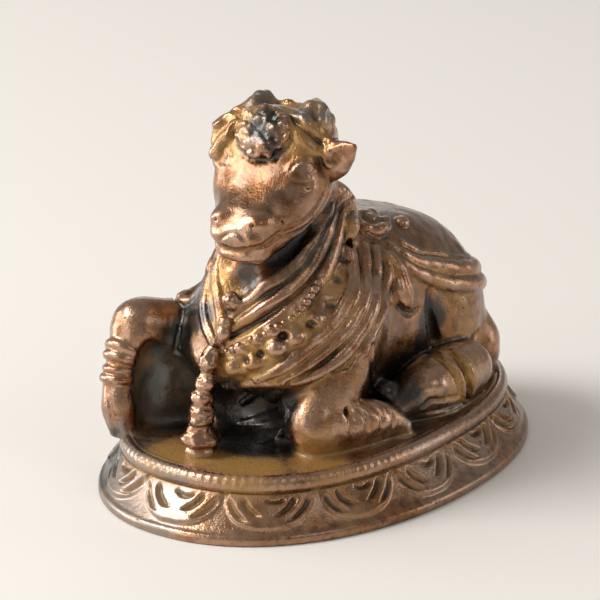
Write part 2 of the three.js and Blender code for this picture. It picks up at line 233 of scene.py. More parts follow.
def to_segment(x, y, z, start, end):
    """The share of the way along a segment nearest to each point, and the way from there."""
    way = end - start
    px, py, pz = x - start[0], y - start[1], z - start[2]
    share = np.clip((px * way[0] + py * way[1] + pz * way[2]) / max(way @ way, 1e-9), 0, 1)
    return share, px - share * way[0], py - share * way[1], pz - share * way[2]


def oval(across, along, half_across, half_along, squareness):
    """Distance to a superellipse, near enough."""
    powers = np.abs(across / half_across) ** squareness + np.abs(along / half_along) ** squareness
    return np.hypot(across, along) * (1 - 1 / np.maximum(powers ** (1 / squareness), 1e-3))


class Clay:
    """Distances to the figure, negative inside it: forms are added, cut out and drawn on."""

    def __init__(self, low, high, grain):
        self.grain = grain
        self.low = np.array(low, float)
        counts = np.ceil((np.array(high) - self.low) / grain).astype(int) + 1
        self.field = np.full(counts, FAR, np.float32)
        self.rulers = [
            (start + grain * np.arange(count)).astype(np.float32) for start, count in zip(self.low, counts)
        ]

    def window(self, low, high):
        """The slices of the block inside a box, and the coordinates of the points there."""
        cut = tuple(
            slice(int(np.searchsorted(ruler, low[i])), int(np.searchsorted(ruler, high[i], side="right")))
            for i, ruler in enumerate(self.rulers)
        )
        x, y, z = (ruler[part] for ruler, part in zip(self.rulers, cut))
        return cut, x[:, None, None], y[None, :, None], z[None, None, :]

    def add(self, form, blend=1.0):
        """Joins a form on, with a fillet of about blend."""
        part, distance = form
        self.field[part] = smooth_low(self.field[part], distance, blend)

    def cut(self, form, blend=0.3):
        """Takes a form out, with its edges softened by blend."""
        part, distance = form
        self.field[part] = -smooth_low(-self.field[part], distance, blend)

    def ellipsoid(self, centre, half, turn=None):
        """An ellipsoid of these half sizes along the axes of turn."""
        reach = max(half) + REACH
        cut, x, y, z = self.window(np.subtract(centre, reach), np.add(centre, reach))
        place = [x - centre[0], y - centre[1], z - centre[2]]
        if turn is not None:
            place = [sum(place[i] * turn[i, k] for i in range(3)) for k in range(3)]
        first = np.sqrt(sum((p / h) ** 2 for p, h in zip(place, half)))
        second = np.sqrt(sum((p / h**2) ** 2 for p, h in zip(place, half)))
        return cut, first * (first - 1) / np.maximum(second, 1e-4)

    def limb(self, path, radii, flat=1.0, side=(0, 0, 1), step=0.8):
        """A round limb along a smooth path; flat squeezes it along its side direction."""
        points, sizes = smooth_path(path, radii, step)
        reach = sizes.max() * max(flat, 1) + REACH
        cut, x, y, z = self.window(points.min(0) - reach, points.max(0) + reach)
        nearest = np.full(self.field[cut].shape, FAR, np.float32)
        side = np.array(side, float) / np.linalg.norm(side)
        for a, b, first, last in zip(points, points[1:], sizes, sizes[1:]):
            share, dx, dy, dz = to_segment(x, y, z, a, b)
            squared = dx * dx + dy * dy + dz * dz
            if flat != 1:
                squared = squared + (dx * side[0] + dy * side[1] + dz * side[2]) ** 2 * (1 / flat**2 - 1)
            np.minimum(nearest, np.sqrt(squared) - (first + (last - first) * share), out=nearest)
        return cut, nearest

    def ring(self, centre, axis, radius, thickness):
        """A round ring, such as a bangle."""
        reach = radius + thickness + 1
        cut, x, y, z = self.window(np.subtract(centre, reach), np.add(centre, reach))
        axis = np.array(axis, float) / np.linalg.norm(axis)
        px, py, pz = x - centre[0], y - centre[1], z - centre[2]
        up = px * axis[0] + py * axis[1] + pz * axis[2]
        out = np.sqrt(np.maximum(px * px + py * py + pz * pz - up * up, 0)) - radius
        return cut, np.sqrt(out * out + up * up) - thickness

    def sampled(self, points, grid=None):
        """Values at places between the block's points."""
        grid = self.field if grid is None else grid
        place = (np.asarray(points) - self.low) / self.grain
        base = np.clip(np.floor(place).astype(int), 0, np.array(grid.shape) - 2)
        part = np.clip(place - base, 0, 1)
        total = 0
        for corner in product((0, 1), repeat=3):
            weight = np.prod(np.where(corner, part, 1 - part), axis=1)
            i, j, k = (base + corner).T
            total = total + weight * grid[i, j, k]
        return total

    def slope(self, points):
        """Which way, and how fast, the distance grows at each point."""
        return np.column_stack([
            (self.sampled(points + step) - self.sampled(points - step)) / (2 * self.grain)
            for step in np.eye(3) * self.grain
        ])

    def laid(self, points, rounds=8):
        """Points moved onto the surface."""
        points = np.array(points, float)
        for _ in range(rounds):
            slope = self.slope(points)
            step = self.sampled(points) / np.maximum((slope**2).sum(1), 0.3)
            points -= slope * np.clip(step, -1, 1)[:, None]
        return points

    def relief(self, strokes, roundness):
        """Heights of lines laid on the surface, the higher one where they meet."""
        heights = np.zeros_like(self.field)
        for path, half_width, height in strokes:
            count = max(np.size(half_width), np.size(height), 2)
            sizes = np.column_stack([np.resize(half_width, count), np.resize(height, count)])
            points, sizes = smooth_path(path, sizes, 0.6)
            points = self.laid(points)
            for a, b, (wide, high), (wide_end, high_end) in zip(points, points[1:], sizes, sizes[1:]):
                reach = max(wide, wide_end)
                cut, x, y, z = self.window(np.minimum(a, b) - reach, np.maximum(a, b) + reach)
                share, dx, dy, dz = to_segment(x, y, z, a, b)
                width = wide + (wide_end - wide) * share
                rest = np.clip(1 - (dx * dx + dy * dy + dz * dz) / width**2, 0, 1)
                here = (high + (high_end - high) * share) * rest**roundness
                heights[cut] = np.maximum(heights[cut], here)
        return heights

    def draw_raised(self, strokes, roundness=0.6):
        """Raises ridges: each stroke is a path, its half-widths and its heights."""
        self.field -= self.relief(strokes, roundness)

    def draw_sunk(self, strokes, roundness=0.8):
        """Sinks grooves, given like ridges."""
        self.field += self.relief(strokes, roundness)

    def frame_at(self, place, up=(0, 0, 1)):
        """A place on the surface and the axes across, along and out of the surface there."""
        spot = self.laid([place])
        out = self.slope(spot)[0]
        out /= max(np.linalg.norm(out), 1e-6)
        across = np.cross(up, out)
        across /= max(np.linalg.norm(across), 1e-6)
        return spot[0], np.column_stack([across, np.cross(out, across), out])

    def boss(self, place, half, blend=0.3):
        """A mound on the surface: its half sizes across, along and out of it."""
        spot, axes = self.frame_at(place)
        self.add(self.ellipsoid(spot, half, axes), blend)
        return spot, axes

    def drill(self, place, radius, depth):
        """A small hole along the surface's own normal."""
        spot, axes = self.frame_at(place)
        out = axes[:, 2]
        self.cut(self.limb([spot + out, spot - out * depth], [radius, radius * 0.8]), 0.2)

    def fullness(self, radius):
        """How much of the space within about a radius of each point is solid."""
        solid = np.clip(0.5 - self.field / self.grain, 0, 1)
        wide = max(1, int(round(radius / self.grain / 1.5)))
        for axis in (0, 1, 2) * 2:
            solid = running_mean(solid, wide, axis)
        return solid


def running_mean(values, wide, axis):
    """The mean over wide points to each side along an axis."""
    before = np.repeat(np.take(values, [0], axis), wide + 1, axis)
    after = np.repeat(np.take(values, [-1], axis), wide, axis)
    sums = np.cumsum(np.concatenate([before, values, after], axis), axis, dtype=np.float64)
    span = 2 * wide + 1
    length = values.shape[axis]
    high = np.take(sums, np.arange(span, span + length), axis)
    low = np.take(sums, np.arange(length), axis)
    return ((high - low) / span).astype(np.float32)


def sided(side, path):
    """A path on the bull's left, or its mirror image where side is -1."""
    return [(side * x, y, z) for x, y, z in path]


# The bull's body

CHEST_SQUARENESS = 2.4
BARREL_SQUARENESS = 2.3
PAST_RUMP = 0.4

# Height, middle's y, half-width and half-depth
CHEST = [
    (-1, -6, 10.6, 11.6), (5, -6.5, 10.6, 12), (8, -7.3, 11.6, 13.4), (11, -8.5, 13, 14.4),
    (15, -8.5, 12.5, 13.8), (19.4, -8.5, 10.4, 12), (24.5, -7.5, 8.7, 10.4), (30.8, -6.6, 7.2, 7.4),
    (34, -7, 5.6, 6), (38, -8.2, 5, 5),
]
# Distance back, low and high edge, half-width
BARREL = [
    (-12, 2, 21, 10.5), (-6, -1, 26.5, 12.6), (2, -1, 27.6, 13), (10, -1, 27, 13), (18, -1, 25, 12.8),
    (24, -1, 21.8, 11.5), (27.6, -0.5, 17.8, 8.6), (29.6, 3, 14.6, 5.6),
]


def model_body(clay):
    """The chest and neck, the barrel, and the haunches."""
    cut, x, y, z = clay.window((-18, -28, -3), (18, 12, 38))
    heights, sections = np.array(CHEST)[:, 0], np.array(CHEST)[:, 1:]
    middle, wide, deep = eased(heights, sections, z[0, 0]).T
    chest = oval(x, y - middle, wide, deep, CHEST_SQUARENESS)
    clay.add((cut, np.maximum(chest, z - heights[-1])))
    cut, x, y, z = clay.window((-18, -14, -3), (18, 33, 31))
    backs, sections = np.array(BARREL)[:, 0], np.array(BARREL)[:, 1:]
    low, high, wide = (part[None, :, None] for part in eased(backs, sections, y[0, :, 0]).T)
    barrel = oval(x, z - (low + high) / 2, wide, (high - low) / 2, BARREL_SQUARENESS)
    clay.add((cut, np.maximum(np.maximum(barrel, y - backs[-1] - PAST_RUMP), backs[0] - y)), 3)
    for side in (-1, 1):
        clay.add(clay.ellipsoid((side * 8.3, 17.5, 9), (6.4, 9.4, 11)), 1.5)
        clay.add(clay.ellipsoid((side * 11, 23.6, 4), (4.2, 4, 5.5)), 1.5)


# Bangles on the raised leg: the share of the way down the shin, and the thickness
BANGLES = ((0.245, 0.85), (0.33, 0.8), (0.435, 0.55), (0.5, 0.7))


def model_forelegs(clay):
    """The folded left leg, and the raised right one with its web and bangles."""
    clay.add(clay.limb([(9.4, -7, 16.5), (10.6, -11.5, 10.5), (10.8, -16, 4.4)], [5.6, 5, 4]), 2)
    shank = [(10.9, -16.4, 3.8), (14, -11, 3.4), (15.9, -6.3, 2.7), (17.1, -3.8, 1.4)]
    clay.add(clay.limb(shank, [3.9, 3.4, 2.7, 1.3]), 0.8)
    clay.cut(clay.limb([(16.8, -16.2, 6.6), (14.4, -14.4, 6)], [0.5, 0.35]), 0.3)
    clay.add(clay.limb([(-8.5, -13, 12), (-12.6, -16.6, 13.2), (-15.8, -20.4, 14.1)], [4.6, 3.9, 4]), 2)
    shin = [(-15.9, -20.9, 13.9), (-16.3, -24, 10.6), (-15.9, -25.5, 4.6), (-15.1, -25.6, 0)]
    thickness = [3.8, 3.0, 2.25, 2.15, 2.2, 2.5, 2.65, 2.4, 1.9]
    clay.add(clay.limb(shin, thickness), 1)
    clay.add(clay.limb([(-9.6, -13, 6), (-16.4, -22, 5.8)], [3.2, 2], flat=3.4), 2.5)
    points, radii = smooth_path(shin, thickness, 0.2)
    for share, size in BANGLES:
        i = int(share * (len(points) - 1))
        clay.add(clay.ring(points[i], points[i + 1] - points[i - 1], radii[i] - 0.05, size), 0.2)
    cleft = [(-16.5, -27.6, 6.6), (-15.5, -28.1, 4.2), (-14.8, -27.9, 0.4)]
    clay.draw_sunk([(cleft, [0.25, 0.45, 0.7], [0.3, 0.7, 1.3])])


def model_hind_feet(clay):
    """Each hind foot on the deck: the hoof with its rim, its band and its cleft."""
    for side in (-1, 1):
        foot = [(15.2, 15, 3.9), (15.7, 10, 4.2), (15.9, 5.5, 4.5), (15.3, 1.5, 4.1), (14.6, -1, 3)]
        clay.add(clay.limb(sided(side, foot), [4, 4.3, 4.4, 3.8, 2.4]), 0.6)
        clay.add(clay.ellipsoid((side * 17.4, 3, 5.4), (2.7, 3.2, 2.6)), 0.6)
        clay.add(clay.ellipsoid((side * 13, -2.2, 4.8), (1.9, 1.9, 1.9)), 0.4)
        rim = [(15.2, 7.1, 8.4), (17.8, 6.1, 7.8), (19.4, 6.4, 6.6), (20.1, 6.9, 4.9), (20.1, 7.2, 3.2)]
        band = [(17.2, 9, 8.5), (19.2, 9, 7.5), (20.3, 9.2, 5.6), (20, 10, 2.4)]
        clay.draw_raised([(sided(side, rim), [0.4, 0.5, 0.5, 0.4], 0.4)])
        clay.draw_raised([(sided(side, band), [0.6, 1.1, 1.1, 0.7], [0.7, 1.4, 1.4, 0.6])])
        toe = [(14.5, 6.2, 8), (17.2, 5.2, 7.7), (18.8, 5.5, 6.6), (19.6, 6, 4.8), (19.9, 6.3, 3.2)]
        edge = [(17, 7.9, 8.4), (19.1, 7.8, 7.2), (20, 7.8, 5.2), (19.4, 9, 2.8), (18.6, 10.9, 0.9)]
        crease = [(18, 0, 3.1), (18.5, 0.6, 4), (19.3, 2.6, 3.8), (19.9, 5.6, 3.2)]
        strokes = [(sided(side, path), [0.4, 0.6, 0.6, 0.4], 1) for path in (toe, edge)]
        clay.draw_sunk(strokes + [(sided(side, crease), 0.45, 0.6)])
        slot = [(17.2, 0.4, 1.6), (18.4, 4.2, 1.4), (18.7, 6.8, 1.1), (18.7, 9.5, 0.9)]
        clay.cut(clay.limb(clay.laid(sided(side, slot)), [0.3, 0.65, 0.6, 0.2]), 0.2)
        clay.cut(clay.limb(sided(side, [(14.6, 18, 7), (14.8, 19.6, 7.6)]), [0.7, 0.7]), 0.3)


# The head, in places sideways to the bull's left, forward, and up from the deck

HEAD_YAW = math.radians(5)
HEAD_PIVOT_Y = -8
HEAD_SIDE = np.array((math.cos(HEAD_YAW), math.sin(HEAD_YAW), 0))
HEAD_FORWARD = np.array((math.sin(HEAD_YAW), -math.cos(HEAD_YAW), 0))
HEAD_AXES = np.column_stack([HEAD_SIDE, HEAD_FORWARD, (0, 0, 1)])
HEAD_LEAN = 0.13
HEAD_LEAN_FROM = 38
SKULL_SQUARENESS = 2.8

# Distance forward, top, bottom and half-width of the head's sections
HEAD = [
    (-5.2, 40.6, 39, 1.2), (-4.8, 43, 36.5, 3.8), (-2.1, 45.2, 33.5, 6), (1.2, 45.7, 31.6, 7.3),
    (4.1, 43.2, 30.4, 7.7), (6.2, 39.9, 29, 7.7), (8.7, 37.2, 27.8, 6.5), (11.3, 35.2, 26.8, 5.0),
    (13.1, 33.9, 26.6, 4.2), (14.2, 32.6, 27.4, 3.3), (14.8, 31.2, 28.8, 1.8), (15, 30.4, 29.6, 0.8),
]


def on_head(side, forward, up):
    """The place in the clay of a place on the head."""
    return HEAD_SIDE * side + HEAD_FORWARD * forward + np.array((0, HEAD_PIVOT_Y, up))


def head_path(places):
    return [on_head(*place) for place in places]


def head_turn(pitch):
    """Axes of a form on the head, pitched about its sideways axis."""
    c, s = math.cos(pitch), math.sin(pitch)
    return HEAD_AXES @ np.array(((1, 0, 0), (0, c, -s), (0, s, c)))


def model_skull(clay):
    """The head from its sections, with the cheeks, the brow's hollows, the nose and the jaw."""
    cut, x, y, z = clay.window((-12, -28, 24), (13, 0, 49))
    y = y - HEAD_PIVOT_Y
    side = x * HEAD_SIDE[0] + y * HEAD_SIDE[1]
    forward = x * HEAD_FORWARD[0] + y * HEAD_FORWARD[1] - HEAD_LEAN * (z - HEAD_LEAN_FROM)
    stations, sections = np.array(HEAD)[:, 0], np.array(HEAD)[:, 1:]
    high, low, wide = np.moveaxis(eased(stations, sections, forward), -1, 0)
    skull = oval(side, z - (high + low) / 2, wide, (high - low) / 2, SKULL_SQUARENESS)
    clay.add((cut, np.maximum(np.maximum(skull, forward - stations[-1]), stations[0] - forward)), 1.5)
    for out in (-1, 1):
        clay.add(clay.ellipsoid(on_head(out * 5, 2.4, 34.6), (3.2, 4.6, 4.2), head_turn(0.2)), 2)
        clay.cut(clay.ellipsoid(on_head(out * 7.4, 11.2, 35.4), (2.4, 2.6, 2), head_turn(-0.6)), 2)
        clay.add(clay.ellipsoid(on_head(out * 2.9, 12.2, 32.7), (1.4, 1.6, 1.1), HEAD_AXES), 1.6)
    clay.add(clay.ellipsoid(on_head(0, 12.9, 30.6), (4.1, 1.9, 1.9), HEAD_AXES), 1)
    clay.add(clay.ellipsoid(on_head(0, 11.2, 27.9), (4, 2.8, 1.6), HEAD_AXES), 0.8)


def model_face(clay):
    """Eyes and lids, nostrils, the lines of the jaw, and the mouth."""
    for out in (-1, 1):
        depth = 1 if out > 0 else 0.4
        clay.boss(on_head(out * 6.7, 6.6, 39.3), (1.2, 0.7, 0.12 * depth), 0.25)
        lids = [
            [(4.4, 7.6, 38.8), (4.7, 7.2, 40.2), (5.9, 6.2, 41), (7.4, 5, 40.8), (8.4, 3.9, 39.6)],
            [(5, 7.4, 38.7), (5.9, 6.6, 40.1), (7.4, 5.4, 40), (8.2, 4.6, 38.9)],
            [(5.2, 7.4, 38.3), (6.4, 7, 37.9), (7.5, 5.8, 38)],
        ]
        clay.draw_raised([(head_path(sided(out, lid)), 0.36, 0.2 * depth) for lid in lids])
        clay.drill(on_head(out * 2.9, 14, 32.7), 0.3, 0.35)
        jaws = [
            [(5.3, 9.7, 31.5), (6.5, 7, 32.3), (7.8, 5.2, 34.2), (8.5, 3.4, 36.3)],
            [(5.2, 9.3, 30.5), (6.3, 6.8, 31.1), (7.6, 4.6, 32.8), (8.2, 2.6, 35)],
        ]
        clay.draw_sunk([(head_path(sided(out, jaw)), 0.4, 0.26) for jaw in jaws])
        clay.drill(on_head(out * 5.4, 9.8, 32.6), 0.3, 0.3)
        clay.drill(on_head(out * 6.9, 6, 36.6), 0.22, 0.2)
    mouth = [
        (-5, 10.4, 31), (-3.6, 12.9, 29.3), (-1.6, 13.6, 29), (1.2, 14, 29), (3.4, 13.7, 29.3),
        (4.7, 12.1, 30), (5.2, 10.3, 30.9),
    ]
    arch = [(-2, 14.4, 30.1), (-0.9, 14.7, 31), (0.2, 14.5, 31.6), (1.4, 14.3, 31.3), (2.4, 14.1, 30.2)]
    clay.draw_sunk([(head_path(mouth), 0.55, 0.65), (head_path(arch), 0.35, 0.3)])


def model_horns_and_ears(clay):
    for out in (-1, 1):
        horn = head_path([(out * 4.5, -0.4, 42.4), (out * 4.2, -1, 44.4), (out * 3.9, -1.8, 46.25)])
        clay.add(clay.limb(horn, [3, 2.4, 0.8]), 0.4)
    for tip, root in (((12.3, 2.6, 42.3), (7.4, 1.6, 39)), ((-9.8, -4, 41), (-7, -0.6, 39))):
        way = np.subtract(tip, root)
        middle = np.add(root, way * 0.55)
        facing = HEAD_FORWARD + np.array((0.35, 0, 0.1))
        ear = head_path([root, middle, tip])
        clay.add(clay.limb(ear, [2.7, 2.7, 2.1, 1.4, 0.6], flat=0.42, side=facing), 0.5)
        inner = head_path([root + way * 0.35, root + way * 0.85])
        hollow = [np.array(place) + facing * 1.3 for place in inner]
        clay.cut(clay.limb(hollow, [1.3, 1.2, 0.4], flat=0.45, side=facing), 0.9)
        rim = [np.add(root, (0.6, 1.5, 1.6)), middle + np.array((0, 0.9, 1.2))]
        clay.draw_raised([(head_path(rim), 0.5, 0.3)])


BAND_UPPER = [
    (-7.8, 4.2, 40.6), (-7.4, 3.4, 43), (-4.9, 2.4, 45.5), (-1.9, 2.5, 46.4), (0.7, 2.1, 46.5),
    (4, 2.7, 45.6), (6.5, 2.4, 44.4), (7.9, 1.8, 42.6), (8.4, 1.4, 40.2),
]
BAND_LOWER = [
    (-7.8, 6.1, 39.6), (-7.5, 5.8, 40.8), (-5.6, 4.8, 42.8), (-1.6, 4.6, 44.9), (1.6, 4.4, 44.9),
    (4, 4.3, 43.8), (6.5, 4.3, 42.5), (8.4, 3.3, 41.1), (8.6, 3, 39.6),
]

# The band's ridges carry lumps only this far to the left and this high up
LUMPS_LEFT = 1.5
LUMPS_TOP = 45.9

# Half sizes of the tuft of curls on the forehead, its crumbs, and the lumps round the horns
TUFT_WIDE = 4.6
TUFT_LONG = 4.0
CRUMBS = 170
HORN_LUMPS = 40


def model_headdress(clay, chance):
    """The ridged band over the forehead, the tuft in its middle, and the lumps round the horns."""
    lobe = head_path([(-6.2, 3, 43.2), (-7.2, 3.6, 41.6), (-7.5, 4.4, 39.6), (-7.2, 5.2, 38)])
    clay.add(clay.limb(lobe, [0.8, 0.9, 0.8, 0.4]), 1.6)
    clay.draw_raised([
        (head_path(BAND_UPPER), 1.15, [0.8, 0.6, 0.5, 0.6, 0.8]),
        (head_path(BAND_LOWER), [1.1, 0.9, 0.9, 0.8], [0.9, 0.6, 0.6, 0.5]),
    ])
    for ridge, size in ((BAND_UPPER, 0.8), (BAND_LOWER, 0.6)):
        for place in smooth_points(ridge, 1.2):
            spread = size * chance.uniform(0.7, 1.2)
            lump = head_path([place + chance.normal(0, 0.35, 3)])[0]
            if place[0] < LUMPS_LEFT and place[2] < LUMPS_TOP:
                clay.boss(lump, (spread, spread * 1.4, spread * 0.38), 0.5)
    groove = midway(BAND_UPPER, BAND_LOWER)[3:]
    clay.draw_sunk([(head_path(groove), [0.3, 0.5, 0.5, 0.4], [0.3, 0.6, 0.6, 0.4])])
    centre, axes = clay.boss(on_head(-0.4, 4.9, 43.1), (TUFT_WIDE, TUFT_LONG, 1.3), 0.5)

    def on_tuft(turn, share):
        flat = axes[:, 0] * TUFT_WIDE * math.cos(turn) + axes[:, 1] * TUFT_LONG * math.sin(turn)
        return centre + flat * share + axes[:, 2] * 0.6

    recess = [on_tuft(math.radians(turn), 1.06) for turn in range(150, 415, 15)]
    clay.draw_sunk([(recess, [0.3, 0.7, 0.75, 0.7, 0.3], [0.3, 0.8, 0.8, 0.8, 0.3])])
    curls = ((-1.1, 0.55, 1.3), (-2.1, 0.5, 1.1), (0.3, 0.45, 1.2), (1.9, 0.4, 1.1), (3.3, 0.5, 1))
    for turn, share, size in curls:
        clay.boss(on_tuft(turn, share), (size, size * 0.8, 0.7), 0.3)
    for _ in range(CRUMBS):
        turn, share = chance.uniform(0, 2 * math.pi), math.sqrt(chance.uniform(0, 0.85))
        size = chance.uniform(0.22, 0.5)
        spot, lie = clay.frame_at(on_tuft(turn, share))
        clay.add(clay.ellipsoid(spot, (size, size * 0.8, size * 0.6), lie), 0.2)
    for _ in range(HORN_LUMPS):
        size = chance.uniform(0.4, 0.9)
        place = on_head(chance.choice((-4.2, 4.2)), -0.8, 44.6) + chance.normal(0, 1.6, 3)
        clay.boss(place, (size, size, size * 0.4), 0.4)


# Cloth, straps and garlands

SCARF_RIDGES = [
    [(6.6, -5, 33.8), (7.3, -10.5, 30.5), (7.2, -13.3, 27.1), (5.8, -16.1, 24.9), (3.5, -18.2, 23),
     (0.7, -20.1, 20.6)],
    [(6.8, -3.6, 33.4), (8, -7.4, 30.4), (8, -10.6, 27.4), (7.6, -14.4, 24.3), (6.1, -17.8, 21.9),
     (3.4, -20.5, 19.5), (1, -21.8, 17.4)],
    [(7, -2.4, 32), (8.3, -6.4, 28.4), (8.8, -9.2, 25.2), (8.8, -13.4, 22.6), (7.4, -17.7, 20.3),
     (4.4, -20.9, 17.8), (0.3, -22.5, 15.5)],
]
SHAWL_RIDGES = [
    [(8.6, -4.6, 26.2), (10.2, -5.8, 23.8), (12, -8.6, 21.6), (12.5, -11.7, 19.2), (11.8, -14.9, 16.6),
     (10, -18.7, 14.4), (8.2, -21, 12.4), (5.4, -22.4, 10.8)],
    [(9, -1.1, 25.5), (11.1, -3.7, 22.7), (13.2, -7.6, 20.4), (13.9, -11.4, 17.6), (12.8, -14.7, 15.4),
     (11.2, -18, 13.2), (8.8, -20.8, 11.2)],
    [(9.5, 1.1, 24.8), (11.5, -1.5, 22), (14, -6.4, 19.6), (14.6, -10.3, 16.6), (14.1, -13.6, 14.2),
     (12.2, -17, 12), (9.8, -19.6, 10.4)],
    [(10.2, 2, 23.8), (11.9, 0.6, 21.2), (13.7, -3.5, 18.6), (14.7, -7.6, 16.4), (15, -10.6, 13.6)],
]
HEM = [(-1.3, -21.3, 8), (2.6, -22.4, 9), (6.2, -22.3, 9.9), (8.4, -21, 10.6)]
GARLAND = [
    (8.9, -6.2, 25.4), (9.2, -7.9, 22.4), (9.9, -11.2, 20), (9.4, -15.1, 18), (7.6, -18.6, 16.6),
    (5.4, -20.9, 14.8), (3, -22, 13.2), (0, -22.8, 12.2),
]
GARLAND_HOLES = [
    (3.9, -23, 13.8), (5.5, -21.6, 14.7), (7.6, -19.3, 16.9), (9.7, -15.9, 18), (10.5, -12.1, 19.9),
    (9.9, -9.5, 22.9), (8.9, -6.7, 24.7),
]
GARLAND_KNOBS = [
    (10.4, -15.1, 18.8), (9.5, -18.7, 17.1), (7.9, -21.3, 15.8), (5.2, -23.2, 13.7), (1.9, -23.9, 12.4),
]
GARLAND_BUMPS = [(2.9, -22.6, 15), (4.7, -21.6, 16.6), (6.8, -20.2, 17.9), (8, -18.7, 18.1)]
GARLAND_EDGE = [
    (9, -13, 23.3), (8.9, -15, 21.4), (8.4, -17.2, 19.7), (7.6, -18.8, 18.9), (6.6, -20.2, 18),
    (4.8, -21.4, 16.9), (2.6, -22.3, 15.4), (0.6, -22.8, 14.4),
]
GARLAND_SHADE = [
    (0.2, -22.8, 15.8), (1.8, -21.7, 17.3), (4, -20.5, 18.8), (5.9, -18.8, 20.5), (7.2, -17, 21.8),
]
RIGHT_STRAPS = [
    [(-5.4, -11, 31), (-6, -14.6, 27), (-5.6, -17, 24), (-3.5, -19.7, 21.2), (-2, -21, 19.2),
     (-0.8, -22, 16.6)],
    [(-6.8, -9.6, 29), (-7.4, -14, 25), (-6.6, -18, 20.8), (-4.6, -20.8, 17.6), (-1.8, -22.4, 15)],
]
RIGHT_EDGE = [(-6.4, -15.6, 25), (-8.2, -15.8, 21.4), (-9.8, -16.2, 18.4), (-11.4, -16, 15.6)]
CRUPPERS = [
    [(9.8, 4.2, 24.4), (11.7, 7.5, 21.7), (12.5, 12.7, 19.6), (13, 17.3, 18), (12.6, 21.4, 16.8),
     (9, 26.4, 15.6), (0, 29.8, 15)],
    [(10.1, 3.4, 23.3), (12, 6.5, 20.4), (12.9, 10.7, 18), (13.4, 15, 16.2), (12.9, 19.4, 14.8),
     (9.3, 25.4, 13), (0, 29.6, 12.4)],
]
CRUPPER_EDGE = [
    (9.7, 7, 24.1), (11.2, 9.3, 22.7), (11.7, 14, 21), (12.2, 19.1, 19), (10, 25, 17.6), (0, 29, 17),
]


def midway(first, second):
    """A line midway between two paths."""
    lines = [smooth_points(path, 0.4) for path in (first, second)]
    return sum(line[np.linspace(0, len(line) - 1, 9).astype(int)] for line in lines) / 2


def model_cloth(clay):
    """The scarf's and the shawl's folds, the garland's ground and the straps round the rump."""
    roll = [(6, -6.4, 34.8), (6.2, -3.6, 33), (6.5, -2, 30.6), (7.1, -2.2, 28)]
    for side in (-1, 1):
        clay.add(clay.limb(sided(side, roll), [1.2, 1.5, 1.4, 1]), 1)
    hollow = [(8, -8, 34), (6.6, -12.6, 29.6), (4.4, -16, 26.6), (2.4, -17.6, 24.8)]
    for side in (-1, 1):
        clay.draw_sunk([(sided(side, hollow), [1, 1.5, 1.3, 0.8], [0.6, 1.1, 1, 0.2])])
    clay.cut(clay.ellipsoid((0.4, -20, 23.9), (3.3, 2.5, 3)), 1.2)
    scarf = ([0.6, 1.15, 1.15, 1.05, 0.7], [0.2, 0.85, 0.9, 0.85, 0.85])
    ridges = [(path, *scarf) for path in SCARF_RIDGES]
    for path, wide in zip(SHAWL_RIDGES, (1.45, 1.1, 1.1, 1.0)):
        ridges.append((path, [wide * 0.8, wide, wide, wide * 0.8, 0.7], [0.7, 0.95, 1.0, 0.85, 0.7]))
        ridges.append((sided(-1, path[:5]), [wide * 0.8, wide, wide], 0.8))
    ridges += [(path, 0.9, 0.85) for path in RIGHT_STRAPS] + [(HEM, [0.5, 0.8, 0.8], 1.2)]
    clay.draw_raised([(GARLAND, [1.5, 2, 2, 1.9], 0.45)], 0.35)
    clay.draw_raised(ridges, 0.5)
    clay.draw_raised([(GARLAND_EDGE, 0.7, 0.5), (RIGHT_EDGE, 0.9, 0.5)])
    clay.draw_sunk([(GARLAND_SHADE, [1, 1.3, 1.1, 0.9, 0.5], [0.5, 0.9, 0.8, 0.6, 0.2])])
    valleys = [midway(a, b) for rows in (SCARF_RIDGES, SHAWL_RIDGES) for a, b in zip(rows, rows[1:])]
    valleys += [sided(-1, valley) for valley in valleys[2:]]
    clay.draw_sunk([(valley, 0.4, [0.3, 0.45, 0.45]) for valley in valleys])
    gap = [(15.4, -9.4, 14.5), (15.5, -9, 11.6), (13.6, -6.5, 8.5), (11.9, -4, 5.3)]
    clay.draw_sunk([(gap, [0.5, 0.8, 0.9, 0.6], [0.6, 1, 1, 0.5])])
    strap = ([0.7, 1.2, 1.3, 1.3, 1.2], [0.6, 1.1, 1.25, 1.3, 1.1])
    for side in (-1, 1):
        strokes = [(sided(side, path), *strap) for path in CRUPPERS]
        strokes.append((sided(side, CRUPPER_EDGE), 0.4, 0.35))
        clay.draw_raised(strokes)


def model_garland_bosses(clay):
    """The knobs and bumps of the garland, and the dark pits between them."""
    for place in GARLAND_KNOBS:
        clay.boss(place, (1.2, 1.15, 0.85), 0.7)
    for place in GARLAND_BUMPS:
        clay.boss(place, (1.1, 0.8, 0.5), 0.6)
    for i, place in enumerate(GARLAND_HOLES):
        spot, axes = clay.frame_at(place, (math.sin(i * 2.3), 0, 1))
        wide = 0.8 - 0.12 * (i % 3)
        deep = 0.8 if i < 4 else 0.5
        clay.cut(clay.ellipsoid(spot, (wide, 0.45 + 0.12 * (i % 2), deep), axes), 0.7)


